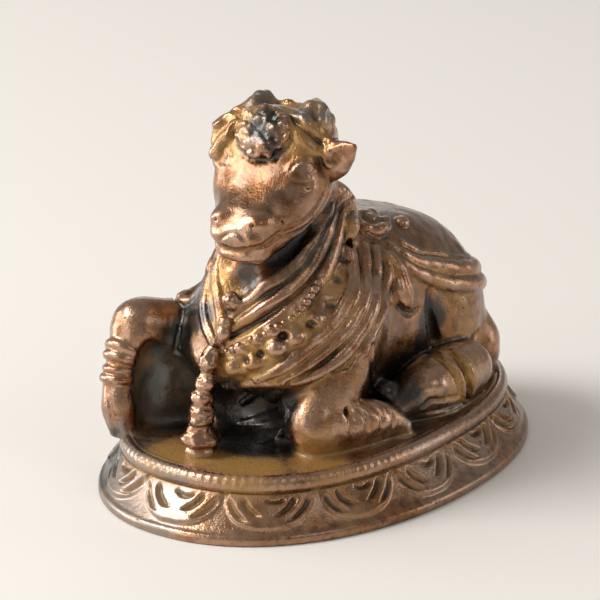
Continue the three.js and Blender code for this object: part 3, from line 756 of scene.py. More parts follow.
def model_pendant(clay):
    """The ringed bead where the scarf crosses, and the drop that hangs under it."""
    out = np.array((0.15, -0.93, 0.34))
    axes = np.column_stack([(0.987, 0.159, 0), np.cross(out, (0.987, 0.159, 0)), out])
    bead = np.array((-0.3, -20.5, 20.9))
    clay.add(clay.ellipsoid(bead, (1.35, 1.3, 0.75), axes), 0.7)
    clay.cut(clay.ring(bead + out * 0.75, out, 0.9, 0.22), 0.25)
    clay.add(clay.ellipsoid(bead + out * 0.35, (0.7, 0.7, 0.65), axes), 0.2)
    drop = np.array((-0.1, -22.4, 16.9))
    clay.add(clay.ellipsoid(drop, (1, 1.2, 0.95), axes), 0.4)
    clay.add(clay.limb([drop, drop + axes @ np.array((-0.5, -1.8, 0))], [0.75, 0.35]), 0.4)
    for lift, radius in ((1.15, 0.85), (1.75, 0.7)):
        clay.add(clay.ring(drop + axes[:, 1] * lift, axes[:, 1], radius, 0.26), 0.2)


def model_leaf(clay, side):
    """The veined leaf at the strap's end, with the groove behind it and the fold under it."""
    leaf = [(10.6, 2.6, 23.6), (12, 3, 21.6), (13, 2.9, 19.4), (13.4, 3.1, 17.8), (13.3, 3.4, 16.8)]
    under = [(12.7, 1.1, 16.6), (12.8, 2.9, 15.1), (13, 5, 14.5), (13, 6.6, 15)]
    groove = [(13, 9.1, 16.4), (13.2, 9.1, 13.6), (13.2, 9.7, 11), (13.1, 10.6, 8.8)]
    clay.cut(clay.limb(sided(side, groove), [0.7, 1.1, 1.15, 1]), 0.4)
    blade = clay.laid(sided(side, leaf)) + np.array((side * 0.3, 0, 0.1))
    clay.add(clay.limb(blade, [0.5, 1.2, 1.8, 2.1, 1.3], flat=0.5, side=(side, 0, 0.3)), 0.6)
    clay.cut(clay.limb(clay.laid(sided(side, under)), [0.25, 0.5, 0.45, 0.2]), 0.25)
    veins = [blade + np.array((side * 0.6, shift, 0)) for shift in (-0.8, 0.1, 1)]
    clay.draw_sunk([(vein, [0.2, 0.3, 0.2], 0.22) for vein in veins])


def model_rosette(clay, side):
    """The swirl in its ring of petals at the back's edge."""
    rosette, lie = clay.frame_at((side * 5.9, 4.2, 27.3))
    clay.add(clay.ellipsoid(rosette, (3.6, 3.1, 1.1), lie), 0.4)
    curl = [(0.9 + 0.5 * t) * np.array((math.cos(t), math.sin(t))) for t in np.linspace(0, 5.6, 15)]
    swirl = [rosette + lie @ np.array((u * 1.05, v * 0.85, 1)) for u, v in curl]
    clay.draw_raised([(swirl, [0.6, 0.8, 0.8], [0.5, 0.7, 0.6])])
    clay.boss(rosette + lie[:, 2], (0.9, 0.9, 0.5), 0.1)
    for turn in np.linspace(0.4, 5.6, 6):
        petal = rosette + lie @ np.array((2.9 * math.cos(turn), 2.4 * math.sin(turn), 0.6))
        clay.boss(petal, (0.85, 0.7, 0.4), 0.3)


def model_ornaments(clay):
    """What lies on the cloth, a tassel and a bored boss on each side, and the folded leg's pleats."""
    model_garland_bosses(clay)
    model_pendant(clay)
    tassel = [(7.8, -3, 30), (8.1, -3.6, 28.7), (8, -4.1, 27.3)]
    for side in (-1, 1):
        model_leaf(clay, side)
        model_rosette(clay, side)
        clay.boss((side * 7, 10.8, 25.2), (1.3, 1.1, 0.9), 0.2)
        clay.drill((side * 7.6, 11.6, 24.8), 0.3, 0.5)
        clay.add(clay.limb(sided(side, tassel), [0.8, 1.25, 1]), 0.25)
        clay.drill((side * 8.8, -4.8, 26.6), 0.7, 1.2)
    pleats = [
        [(14.2, -15, 7), (15, -14.4, 4.6), (15, -14.4, 2)],
        [(14.9, -13.4, 7.4), (16.4, -12.2, 5), (16.6, -12.4, 2)],
        [(15.2, -11, 6.6), (17, -9.6, 4.4), (17.2, -10, 2)],
        [(15.8, -8.4, 5.8), (17.4, -7.4, 3.8), (17.6, -7.8, 1.6)],
    ]
    clay.draw_sunk([(pleat, 0.45, 0.5) for pleat in pleats])


def model_hollows(clay):
    """The deep places behind the string of bells and behind the raised leg."""
    clay.cut(clay.ellipsoid((-0.8, -18.4, 3.6), (7.2, 5, 5.2)), 0.6)
    along = np.array((-0.59, -0.81, 0))
    web = np.column_stack([along, (0.81, -0.59, 0), (0, 0, 1)])
    clay.cut(clay.ellipsoid((-12.2, -22.8, 6.2), (2.5, 2.5, 7), web), 0.8)
    rim = [(7.4, -20.4, 8.4), (6.6, -21, 5.6), (5.6, -21, 2.8), (5.8, -21, 0.4)]
    folds = [
        [(-3, -15, 3.4), (2, -17, 6), (7, -19.6, 8.4)], [(-2.6, -16, 1.6), (2.6, -16.6, 3.6), (7, -19, 6)],
        [(0, -16, 0.8), (4, -17, 2), (7, -18.6, 3.8)],
    ]
    clay.draw_raised([(clay.laid(fold), [0.5, 0.8, 0.8], 0.6) for fold in folds] + [(rim, 0.5, 0.6)])


def model_tail(clay):
    """A plain cord that hangs down the rump and lies on the deck."""
    tail = [(0.4, 28.4, 17), (1, 29.6, 10), (3.2, 29.4, 3.6), (8, 27.8, 1.2)]
    clay.add(clay.limb(tail, [1.5, 1.1, 1.2, 1.6]), 0.5)


# The deck's surface close to the figure, so that it runs into the casting: how far under the deck it lies,
# how softly it joins the figure, how far out it reaches, and the deck's half sizes
DECK_SINK = 0.12
DECK_EASE = 2.0
DECK_REACH = 2.4
DECK_HALF_WIDTH = 20.2
DECK_HALF_LENGTH = 31.7

# Below the first height the figure keeps within the deck's edge, and it ends at the second
OVERHANG = -0.3
BOTTOM = -2.2


def model_deck(clay):
    """Runs the figure into the deck, and keeps its foot within the deck's edge."""
    x, y, z = np.ix_(*clay.rulers)
    edge = oval(x, y, DECK_HALF_WIDTH, DECK_HALF_LENGTH, LIP_SQUARENESS)
    deck = np.maximum(np.maximum(z + DECK_SINK, clay.field - DECK_REACH), edge)
    joined = smooth_low(clay.field, deck, DECK_EASE)
    clay.field = np.maximum(joined, np.minimum(OVERHANG - z, edge)).astype(np.float32)


CLAY_LOW = (-21.5, -31, -2.4)
CLAY_HIGH = (21.5, 32.5, 48)
FIGURE_SEED = 7

# How far round a point counts for its recess and for its shelter
RECESS_RADIUS = 0.9
SHELTER_RADIUS = 3.5


@lru_cache(maxsize=1)
def modelled_figure(grain):
    """The whole figure in clay, and how full the space is round each of its points."""
    chance = np.random.default_rng(FIGURE_SEED)
    clay = Clay(CLAY_LOW, CLAY_HIGH, grain)
    model_body(clay)
    model_forelegs(clay)
    model_skull(clay)
    model_horns_and_ears(clay)
    model_cloth(clay)
    model_hind_feet(clay)
    model_face(clay)
    model_headdress(clay, chance)
    model_ornaments(clay)
    model_tail(clay)
    model_hollows(clay)
    model_deck(clay)
    body = clay.field
    clay.field = np.minimum(body, clay.rulers[2])
    fine, broad = clay.fullness(RECESS_RADIUS), clay.fullness(SHELTER_RADIUS)
    clay.field = body
    return clay, fine, broad


# Meshes


def new_object(name, mesh):
    piece = bpy.data.objects.new(name, mesh)
    bpy.context.scene.collection.objects.link(piece)
    return piece


def places_of(mesh):
    """The places of a mesh's points."""
    values = np.empty(len(mesh.vertices) * 3)
    mesh.vertices.foreach_get("co", values)
    return values.reshape(-1, 3)


# Where lacquer pools; where soot gathers, and where painted shade darkens the hollow under the chest and the
# places behind the legs; where hands rub the metal bright, and where painted light brightens the lit lower
# front; where a
# grey bloom lies, and where a painted sheen greys the web and the plinth's band:
# a place, how far the mark reaches and how strong it is
LACQUERED = [
    ((-4, -12, 44), 7, 1.0), ((6, -11, 43), 5, 1.0), ((0, -8, 46), 6, 0.9), ((-8, -13.5, 41), 4, 1.1),
    ((-3.6, -12.8, 43.4), 2.6, 1.2), ((4.4, -7, 46), 3, 0.9), ((-4, -19, 22), 4, 1.1),
    ((-3.6, -19, 26), 3.4, 1.1), ((3, -21.5, 17.5), 3.5, 1.0), ((5, -21, 14), 4.5, 1.1),
    ((1, -23, 12), 3.4, 1.1), ((8, -17, 18), 4, 1.0), ((9.4, -10, 22), 3.4, 0.9),
    ((12.5, -10, 19), 3.4, 0.7), ((6, -15, 25), 4.6, 0.8), ((9, -20.5, 11), 3, 0.9),
    ((-3, -27, 0), 9, 1.1), ((7, -27, 0), 8, 1.2), ((14, -20, 0), 7, 1.0), ((18, 7.5, 5), 6.5, 1.2),
    ((16, 12, 5), 6, 1.0), ((15, 3, 2), 4, 0.7), ((8.5, -4.4, 28.6), 1.8, 1.2),
    ((13, 12, 17.6), 3, 0.9), ((12, 2, 24), 3, 0.7), ((14, 17, 7), 7, 0.7), ((13, 6, 11), 6, 0.6),
    ((0, 0, 0), 60, 0.45),
]
# Black patina, and painted shade: the marks under the chest, behind the folded leg and beside the bells stand
# in for shadow, and the one on the plinth's far-left end is a painted dark reflection
SOOTED_AND_SHADED = [
    ((0.6, -13.3, 44.4), 4, 1.0), ((2, -14, 42), 2.6, 1.0), ((0.6, -19, 24.6), 4, 0.9),
    ((4, -14.5, 28), 5, 1.1), ((-3.2, -21, 20.4), 1.8, 0.9), ((-5.4, -20, 17.4), 3.4, 1.1),
    ((-7.5, -18.5, 17), 5, 1.1), ((-8.5, -16, 21), 4, 1.0), ((-9, -19, 11), 7, 1.2),
    ((-11, -18.4, 5), 8, 1.2), ((2, -17, 4), 7.5, 1.3), ((1, -22, 9), 3, 0.9),
    ((6.4, -19.6, 4), 2.6, 1.1), ((14.6, 0.6, 4), 5.6, 1.2), ((12, 1, 4.6), 7, 1.2),
    ((-1, -20.5, 6), 5, 1.2), ((5.4, -15.4, 26), 4, 0.8), ((-19.5, -25.5, -5), 9.5, 1.5),
    ((7.6, -7.6, 31.5), 3.4, 0.9), ((4.4, -8, 46.4), 3, 0.6), ((-4, -8, 46.4), 3.4, 0.7),
    ((12.8, 9.4, 12.5), 4.5, 1.1), ((3, -21, 7), 4, 1.1), ((20, 8, -1), 5, 0.4),
    ((-15, -28.6, 0.6), 1.6, 1.2), ((7, -12, 28.4), 6, 0.8), ((4.4, -17.6, 23), 4, 0.6),
    ((8, -7, 27), 4, 0.5), ((3, 8, 30), 11, 0.62), ((-4.2, -8.6, 46), 3.6, 0.8),
    ((4.4, -9, 45.6), 3, 0.7), ((-3.4, -14, 4), 6, 1.6), ((2, -17, 1), 9, 1.5),
    ((6.5, -19.4, 6.4), 4.6, 1.3), ((13.3, -3, 5.2), 3, 1.8), ((1, -14, 5), 6, 1.4),
    ((11, -2, 7), 4, 1.1), ((13.6, 7.4, 9.6), 3, 1.0),
] + [(hole, 1.2, 0.3) for hole in GARLAND_HOLES]
# Rubbed wear, and painted light: these marks also brighten the lip, the petal band, the shin, the knees and
# the bells where the low front light falls
RUBBED_AND_LIT = [
    ((-16.5, -26, 5), 12, 1.6), ((12.5, -9, 19), 9, 1.2), ((15, -17, 2), 10, 1.1),
    ((2, -32, 0), 18, 1.6), ((12.5, -21, 3), 8, 0.7), ((18, -27, -4), 15, 0.6), ((4, -20, 17), 9, 0.5),
    ((19, -6, 0), 12, 0.9), ((22, 6, -4), 14, 0.5), ((0, -19, 37), 8, 0.2),
]
# A grey bloom, and a painted sheen: the marks on the web and on the plinth's band paint the grey-blue
# reflection and the silvery highlight there
GREYED_AND_SHEENED = [
    ((0, 10, 32), 13, 0.4), ((0.6, -13, 44), 3, 0.5), ((4, -8, 46), 5, 1.0), ((-5, -8, 46), 5, 1.0),
    ((-0.8, -13, 43), 4.4, 0.8), ((-14, -34, -5), 13, 1.3), ((-3, -36, -4), 9, 0.9),
    ((-8, -34, -3), 12, 0.9), ((22, 0, -5), 17, 0.6), ((9, -4, 31), 4, 0.6), ((-12, -20, 6), 8, 1.2),
    ((4, -16, 22), 5, 0.3),
]


def marked(places, spots):
    """How strongly the nearest of the marks, whether stain, painted light or painted shade, marks each place.
    """
    marks = np.zeros(len(places))
    for centre, reach, strength in spots:
        near = np.linalg.norm(places - np.array(centre), axis=1) / reach
        marks = np.maximum(marks, strength * np.clip(2 - 2 * near, 0, 1))
    return marks


# How strongly a recess, a groove and a shelter show in the finish; the shelter also darkens sheltered places
# as painted shade
RECESS_GAIN = 2.2
GROOVE_GAIN = 0.5
SHELTER_GAIN = 2

# The corner along the deck counts for less, up to this height, and what lies this far under it for nothing
CORNER_HEIGHT = 1.5
CORNER_SHARE = 0.55
UNDER_DECK = 0.3


def weathering_and_painted_light(mesh, scale, deck):
    """Stores on each point how deep it lies in a recess, and how strongly each mark shows there."""
    clay, fine, broad = modelled_figure(figure_grain())
    places = places_of(mesh) / scale - np.array((0, 0, deck / scale))
    height = places[:, 2]
    above = np.clip((height + UNDER_DECK) / UNDER_DECK, 0, 1)
    above *= CORNER_SHARE + (1 - CORNER_SHARE) * np.clip(height / CORNER_HEIGHT, 0, 1)
    recess = (clay.sampled(places, fine) - 0.5) * above
    shelter = (clay.sampled(places, broad) - 0.5) * above
    groove = np.zeros(len(mesh.vertices))
    if "groove" in mesh.attributes:
        mesh.attributes["groove"].data.foreach_get("value", groove)
    for name, values in (
        ("recess", recess * RECESS_GAIN + groove * GROOVE_GAIN),
        ("shelter", shelter * SHELTER_GAIN),
        ("lacquer", marked(places, LACQUERED)),
        ("soot_and_shade", marked(places, SOOTED_AND_SHADED)),
        ("rub_and_light", marked(places, RUBBED_AND_LIT)),
        ("grey_bloom_and_sheen", marked(places, GREYED_AND_SHEENED)),
    ):
        attribute = mesh.attributes.new(name, "FLOAT", "POINT")
        attribute.data.foreach_set("value", values.astype(np.float32))


WAVES = 28
WAVELENGTH = 3.2
WAVE_SEED = 3


def unevenness(places):
    """Gentle random waves over a surface, about one high."""
    chance = np.random.default_rng(WAVE_SEED)
    total = np.zeros(len(places))
    for _ in range(WAVES):
        way = chance.normal(size=3)
        way *= 2 * math.pi / WAVELENGTH / np.linalg.norm(way) * chance.uniform(0.7, 1.5)
        total += np.sin(places @ way + chance.uniform(0, 2 * math.pi))
    return total / math.sqrt(WAVES / 2)


def figure_grain():
    """The spacing of the clay's points."""
    return round(bpy.context.scene.nandi_figure.grain / MILLIMETRE, 4)


def figure_scale():
    """The size of one unit of clay."""
    return bpy.context.scene.nandi_figure.height / FIGURE_UNITS


def drop_specks(shape):
    """Takes out what isn't joined to the figure, such as a crumb that a cut leaves."""
    unseen, figure = set(shape.verts), set()
    while len(unseen) > len(figure):
        front = {unseen.pop()}
        island = set(front)
        while front:
            front = {edge.other_vert(corner) for corner in front for edge in corner.link_edges} & unseen
            unseen -= front
            island |= front
        figure = max(figure, island, key=len)
    loose = [corner for corner in shape.verts if corner not in figure]
    bmesh.ops.delete(shape, geom=loose, context="VERTS")


def cast_figure(name, scale, deck, rough):
    """The clay's surface as a closed mesh that ends just under the deck."""
    clay = modelled_figure(figure_grain())[0]
    grid = openvdb.FloatGrid(FAR)
    grid.copyFromArray(np.ascontiguousarray(clay.field))
    points, quads = grid.convertToQuads(isovalue=0.0)
    points = np.asarray(points, float) * clay.grain + clay.low
    out = clay.slope(points)
    out /= np.maximum(np.linalg.norm(out, axis=1), 1e-6)[:, None]
    points += out * (unevenness(points) * rough / scale)[:, None]
    points = points * scale + np.array((0, 0, deck))
    mesh = bpy.data.meshes.new(name)
    mesh.from_pydata(points.tolist(), [], np.asarray(quads).tolist())
    shape = bmesh.new()
    shape.from_mesh(mesh)
    drop_specks(shape)
    if shape.calc_volume(signed=True) < 0:
        bmesh.ops.reverse_faces(shape, faces=shape.faces)
    bmesh.ops.bisect_plane(
        shape, geom=shape.verts[:] + shape.edges[:] + shape.faces[:], dist=1e-7,
        plane_co=(0, 0, deck + BOTTOM * scale), plane_no=(0, 0, 1), clear_inner=True,
    )
    rim = [edge for edge in shape.edges if edge.is_boundary]
    bmesh.ops.holes_fill(shape, edges=rim, sides=0)
    for face in shape.faces:
        face.smooth = True
    shape.to_mesh(mesh)
    shape.free()
    return mesh


def thin_out(piece):
    """Joins the flattest faces until the piece is within its number of triangles."""
    triangles = sum(len(face.vertices) - 2 for face in piece.data.polygons)
    if triangles > MOST_TRIANGLES:
        modifier = piece.modifiers.new("thin", "DECIMATE")
        modifier.ratio = MOST_TRIANGLES / triangles
        shown = piece.evaluated_get(bpy.context.evaluated_depsgraph_get())
        mesh = bpy.data.meshes.new_from_object(shown)
        piece.modifiers.clear()
        piece.data = mesh


# Node trees


class Value:
    """A number in a node tree, whose arithmetic makes Math nodes."""

    def __init__(self, tree, socket):
        self.tree, self.socket = tree, socket

    def math(self, operation, *others):
        made = self.tree.nodes.new("ShaderNodeMath")
        made.operation = operation
        for socket, value in zip(made.inputs, (self, *others)):
            plug(self.tree, socket, value)
        return Value(self.tree, made.outputs[0])

    def __add__(self, other):
        return self.math("ADD", other)

    def __sub__(self, other):
        return self.math("SUBTRACT", other)

    def __mul__(self, other):
        return self.math("MULTIPLY", other)

    def __truediv__(self, other):
        return self.math("DIVIDE", other)

    def power(self, other):
        return self.math("POWER", other)

    def size(self):
        return self.math("ABSOLUTE")

    def at_least(self, other):
        return self.math("MAXIMUM", other)

    def at_most(self, other):
        return self.math("MINIMUM", other)

    def clipped(self):
        return self.at_least(0.0).at_most(1.0)

    def step(self, start, end):
        """Nought before start, one after end, smooth between."""
        limits = {"Value": self, "From Min": start, "From Max": end}
        made = node(self.tree, "ShaderNodeMapRange", limits, interpolation_type="SMOOTHSTEP")
        return Value(self.tree, made)


def plug(tree, socket, value):
    """Links a node's output, or sets a plain value, on an input."""
    if isinstance(value, Value):
        value = value.socket
    if isinstance(value, bpy.types.NodeSocket):
        tree.links.new(value, socket)
    elif value is not None:
        socket.default_value = value


def node(tree, kind, inputs=None, out=0, **settings):
    """A node with its settings and inputs; gives one of its outputs."""
    made = tree.nodes.new(kind)
    for name, value in settings.items():
        setattr(made, name, value)
    for key, value in (inputs or {}).items():
        plug(tree, made.inputs[key], value)
    return made.outputs[out]


def new_tree(name, **labels):
    """A Geometry Nodes tree with inputs of each kind; gives it, its inputs by name and its last node."""
    tree = bpy.data.node_groups.new(name, "GeometryNodeTree")
    inputs = [("Geometry", "Geometry"), *((label, kind) for kind, names in labels.items() for label in names)]
    for label, kind in (*inputs, ("Finish", "Material")):
        tree.interface.new_socket(label, in_out="INPUT", socket_type="NodeSocket" + kind)
    tree.interface.new_socket("Geometry", in_out="OUTPUT", socket_type="NodeSocketGeometry")
    given = tree.nodes.new("NodeGroupInput")
    values = {socket.name: socket for socket in given.outputs if socket.name}
    return tree, values, tree.nodes.new("NodeGroupOutput")


def finish_tree(tree, geometry, material, last):
    """The end of each tree: smooth shading, real meshes and the finish."""
    smooth = node(tree, "GeometryNodeSetShadeSmooth", {"Geometry": geometry})
    real = node(tree, "GeometryNodeRealizeInstances", {"Geometry": smooth})
    coated = node(tree, "GeometryNodeSetMaterial", {"Geometry": real, "Material": material})
    tree.links.new(coated, last.inputs[0])


def grown(name, tree, values, seed_mesh=None):
    """The plain mesh that a tree makes with these inputs, as an object."""
    piece = new_object(name, seed_mesh or bpy.data.meshes.new(name))
    modifier = piece.modifiers.new(tree.name, "NODES")
    modifier.node_group = tree
    for item in tree.interface.items_tree:
        if item.in_out == "INPUT" and item.name in values:
            modifier[item.identifier] = values[item.name]
    shown = piece.evaluated_get(bpy.context.evaluated_depsgraph_get())
    mesh = bpy.data.meshes.new_from_object(shown)
    piece.modifiers.remove(modifier)
    piece.data = mesh
    mesh.name = name
    return piece


# The lotus plinth

# Faces round the plinth, the share of a petal that the ring starts at, and the beads rolled on the lip,
# with their height as a share of a petal's
AROUND = 820
PETAL_START = 0.07
LIP_BEADS = 144
LIP_RELIEF = 0.16

# How high the lip stands over the deck, and where the petal band starts: above the foot, and in from it
LIP_RISE = 0.00045
BAND_RISE = 0.0003
BAND_INSET = 0.0008

OUTLINE_POINTS = 720


def oval_outline(tree, half_length, half_width, squareness):
    """A closed superellipse curve that starts at the front."""
    circle = node(tree, "GeometryNodeCurvePrimitiveCircle", {"Resolution": OUTLINE_POINTS, "Radius": 1.0})
    factor = Value(tree, node(tree, "GeometryNodeSplineParameter"))
    turn = factor * (2 * math.pi) - math.pi / 2

    def bent(wave):
        return wave.size().power(2 / squareness) * wave.math("SIGN")

    x = bent(turn.math("COSINE")) * half_width
    y = bent(turn.math("SINE")) * half_length
    place = node(tree, "ShaderNodeCombineXYZ", {"X": x, "Y": y})
    return node(tree, "GeometryNodeSetPosition", {"Geometry": circle, "Position": place})


def float_curve(tree, share, points, highest):
    """A smooth curve through points, given as a share and a height up to the highest."""
    made = tree.nodes.new("ShaderNodeFloatCurve")
    curve = made.mapping.curves[0]
    while len(curve.points) < len(points):
        curve.points.new(0.5, 0.5)
    for dot, (place, value, corner) in zip(curve.points, points):
        dot.location = (place, value / highest)
        dot.handle_type = "VECTOR" if corner else "AUTO_CLAMPED"
    made.mapping.update()
    plug(tree, made.inputs["Value"], share)
    return Value(tree, made.outputs[0]) * highest


def lip_base(sizes):
    """Height of the lip's underside, where the petal band ends."""
    return sizes.deck_height + LIP_RISE - sizes.lip_height


def plinth_profile(sizes):
    """The plinth's profile: rows up to here, height, inset, share of the way out, and if it's a corner."""
    foot, deck, lip = sizes.foot_height, sizes.deck_height, sizes.lip_height
    under_lip = lip_base(sizes)
    top = BAND_INSET + sizes.band_flare
    return [
        (0, 0, 0.0003, 0, True),
        (6, 0, 0.0003, 1, True),
        (3, 0.00025, 0.00003, 1, False),
        (5, foot * 0.55, 0, 1, False),
        (4, foot * 0.95, 0.0002, 1, False),
        (4, foot + BAND_RISE, BAND_INSET, 1, False),
        (32, under_lip, top, 1, True),
        (4, under_lip + lip * 0.1, top - 0.0004, 1, False),
        (8, under_lip + lip * 0.42, top - 0.0009, 1, False),
        (8, under_lip + lip * 0.8, top - 0.00055, 1, False),
        (6, under_lip + lip * 0.98, top + 0.00005, 1, False),
        (6, under_lip + lip, top + 0.00055, 1, False),
        (4, deck + 0.00012, top + 0.00105, 1, False),
        (5, deck + 0.0002, top + 0.0015, 1, False),
        (5, deck, top + 0.0022, 1, True),
        (16, deck, top + 0.0022, 0, True),
    ]


def crescent(s, t, middle, radii, width, ends):
    """Depth of a crescent cut along an ellipse; ends narrows it to points."""
    across = ((s - middle[0]) / radii[0]).power(2.0)
    along = ((t - middle[1]) / radii[1]).power(2.0)
    off = ((across + along).power(0.5) - 1.0) * min(radii)
    share = off / (ends * width).at_least(1e-4)
    return (share * share * -1.0 + 1.0).clipped() * ends.clipped()


def petal_relief(tree, turn, rise, petals, seed):
    """How the petals rise from the band, and how deep their cuts are, as shares."""
    count = turn * petals - PETAL_START + 0.5
    index = count.math("FLOOR")

    def jitter(amount, salt):
        inputs = {2: -amount, 3: amount, 7: index, 8: seed + salt}
        return Value(tree, node(tree, "FunctionNodeRandomValue", inputs, out=1, data_type="FLOAT"))

    s = (count - index) * 2.0 - 1.0 + jitter(0.05, 1)
    t = rise + jitter(0.04, 2)
    side = s.size()
    squareness = 2.4
    half = (side / 0.93).power(squareness) + (t * -1.0 + 1.06).at_least(0.0).power(squareness)
    outline = half.power(1 / squareness)
    body = ((outline * -1.0 + 1.04) / 0.12).step(0.0, 1.0)
    hollow = outline.step(0.75, 0.1) * 0.3
    outer, middle, inner = (crescent(s, t, *shape) for shape in (
        ((0.0, 1.02), (0.86, 0.86), 0.085, side.step(0.3, 0.6) * (t * -1.0 + 0.95).step(0.0, 0.25)),
        ((-0.02, 1.0), (0.55, 0.60), 0.085, side.step(0.06, 0.3) * (t * -1.0 + 1.0).step(0.05, 0.2)),
        ((0.1, 1.02), (0.24, 0.26), 0.06, (t * -1.0 + 1.0).step(0.08, 0.2)),
    ))
    return body - hollow, outer.at_least(middle).at_least(inner)


def plinth_marks(tree, sizes, given, turn, share, height, inset):
    """How far the petals and the lip's beads stand out, and how deep the grooves are."""
    band_low, band_high = sizes.foot_height + BAND_RISE, lip_base(sizes)
    rise = (height - band_low) / (band_high - band_low)
    petals, seed = Value(tree, given["Petals"]), Value(tree, given["Seed"])
    body, cuts = petal_relief(tree, turn, rise, petals, seed)
    outside = share.step(0.05, 0.06)
    seam = rise.step(0.86, 0.98) * (rise * -1.0 + 1.14).step(0.0, 0.14) * outside
    on_band = rise.step(-0.02, 0.06) * (rise * -1.0 + 1.0).step(-0.001, 0.03) * outside
    on_band = on_band * (share * -1.0 + 1.0).step(0.3, 0.31)
    on_lip = height.step(band_high + sizes.lip_height * 0.45, band_high + sizes.lip_height * 0.7)
    on_lip = on_lip * (inset * -1.0 + (BAND_INSET + sizes.band_flare) + 0.0009).step(0.0, 0.0004)
    beading = ((turn * (2 * math.pi * LIP_BEADS)).math("COSINE") * 0.5 + 0.5) * on_lip * LIP_RELIEF
    beading = beading * (turn * (2 * math.pi)).math("COSINE").step(0.0, 0.8)
    raised = ((body - cuts * 1.25) * on_band + beading) * given["Petal relief"]
    return {"raised": raised, "groove": (cuts * on_band).at_least(seam * 0.7)}


def plinth_tree(sizes):
    """The plinth: rows of its profile drawn in from two oval outlines, with a ring of petals."""
    lengths = ("Length", "Width", "Petals", "Petal relief", "Unevenness")
    tree, given, last = new_tree("Lotus plinth", Float=lengths, Int=("Seed",))
    profile = plinth_profile(sizes)
    rows = np.cumsum([row[0] for row in profile])
    kept = node(tree, "GeometryNodeMeshGrid", {
        "Size X": 1.0, "Size Y": 1.0, "Vertices X": AROUND + 1, "Vertices Y": int(rows[-1]) + 1,
    })
    where = node(tree, "GeometryNodeInputPosition")
    turn, share = (Value(tree, node(tree, "ShaderNodeSeparateXYZ", {0: where}, out=i)) + 0.5 for i in (0, 1))

    def column(k, highest):
        points = [(at, row[k], row[4]) for at, row in zip(rows / rows[-1], profile)]
        return float_curve(tree, share, points, highest)

    height, inset, reach = column(1, 0.01), column(2, 0.01), column(3, 1.0)
    half_length, half_width = Value(tree, given["Length"]) / 2.0, Value(tree, given["Width"]) / 2.0
    inner = BAND_INSET + sizes.band_flare
    ends = [
        node(tree, "GeometryNodeSampleCurve", {"Curves": outline, "Factor": turn}, out=1, mode="FACTOR",
             use_all_curves=True)
        for outline in (
            oval_outline(tree, half_length, half_width, FOOT_SQUARENESS),
            oval_outline(tree, half_length - inner, half_width - inner, LIP_SQUARENESS),
        )
    ]
    mix = {0: inset / inner, 4: ends[0], 5: ends[1]}
    mixed = node(tree, "ShaderNodeMix", mix, out=1, data_type="VECTOR", clamp_factor=False)
    flat = node(tree, "ShaderNodeVectorMath", {0: mixed, 3: reach}, operation="SCALE")
    lift = node(tree, "ShaderNodeCombineXYZ", {"Z": height})
    place = node(tree, "ShaderNodeVectorMath", {0: flat, 1: lift}, operation="ADD")
    for name, value in plinth_marks(tree, sizes, given, turn, share, height, inset).items():
        stored = {"Geometry": kept, "Name": name, "Value": value}
        kept = node(tree, "GeometryNodeStoreNamedAttribute", stored, data_type="FLOAT", domain="POINT")
    shaped = node(tree, "GeometryNodeSetPosition", {"Geometry": kept, "Position": place})
    welded = node(tree, "GeometryNodeMergeByDistance", {"Geometry": shaped, "Distance": 1e-6})
    noise = Value(tree, node(tree, "ShaderNodeTexNoise", {"Scale": 330.0, "Detail": 2.0})) - 0.62
    above = Value(tree, node(tree, "ShaderNodeSeparateXYZ", {0: where}, out=2))
    noise = noise * above.step(0.0, MILLIMETRE) * given["Unevenness"]
    raised = Value(tree, node(tree, "GeometryNodeInputNamedAttribute", {"Name": "raised"}, data_type="FLOAT"))
    normal = node(tree, "GeometryNodeInputNormal")
    off = node(tree, "ShaderNodeVectorMath", {0: normal, 3: raised + noise}, operation="SCALE")
    carved = node(tree, "GeometryNodeSetPosition", {"Geometry": welded, "Offset": off})
    finish_tree(tree, carved, given["Finish"], last)
    return tree


# The beads along the garland's edge, and the string of bells

# Their radius and spacing, how much their sizes vary, and how far they sink into the cloth
BEAD_RADIUS = 0.6
BEAD_SPACING = 1.05
BEAD_VARIATION = 0.3
BEAD_SINK = 0.32


def bead_tree():
    """Small uneven beads, evenly spaced along the edges of a mesh."""
    tree, given, last = new_tree("Beads", Float=("Radius", "Spacing", "Variation"), Int=("Seed",))
    path = node(tree, "GeometryNodeMeshToCurve", {"Mesh": given["Geometry"]})
    spaced = {"Curve": path, "Length": given["Spacing"]}
    points = node(tree, "GeometryNodeCurveToPoints", spaced, mode="LENGTH")
    ball = node(tree, "GeometryNodeMeshIcoSphere", {"Radius": given["Radius"], "Subdivisions": 3})
    variation = Value(tree, given["Variation"])
    limits = {2: variation * -1.0 + 1.0, 3: variation + 1.0, 8: given["Seed"]}
    scale = node(tree, "FunctionNodeRandomValue", limits, out=1, data_type="FLOAT")
    instances = {"Points": points, "Instance": ball, "Scale": scale}
    beads = node(tree, "GeometryNodeInstanceOnPoints", instances)
    finish_tree(tree, beads, given["Finish"], last)
    return tree


# The share of the way up the string, and the radius there
BELL_PROFILE = [
    (0, 2.3), (0.05, 2.3), (0.09, 2.1), (0.12, 2.6), (0.15, 2.8), (0.19, 2.5), (0.25, 1.85),
    (0.29, 1.7), (0.33, 1.9), (0.37, 1.75), (0.42, 1.85), (0.46, 1.5), (0.49, 1.4), (0.53, 1.6),
    (0.57, 1.5), (0.6, 1.1), (0.65, 1.3), (0.7, 1.25), (0.74, 1.0), (0.8, 1.35), (0.86, 1.5),
    (0.91, 1.3), (0.95, 1.1), (1, 0.8),
]
BELL_WIDEST = 3.0
BELL_FOOT = (-1.5, -25.8, -0.3)
BELL_MIDDLE = (-2, -26, 8)
BELL_TOP = (-0.9, -23.6, 14.8)


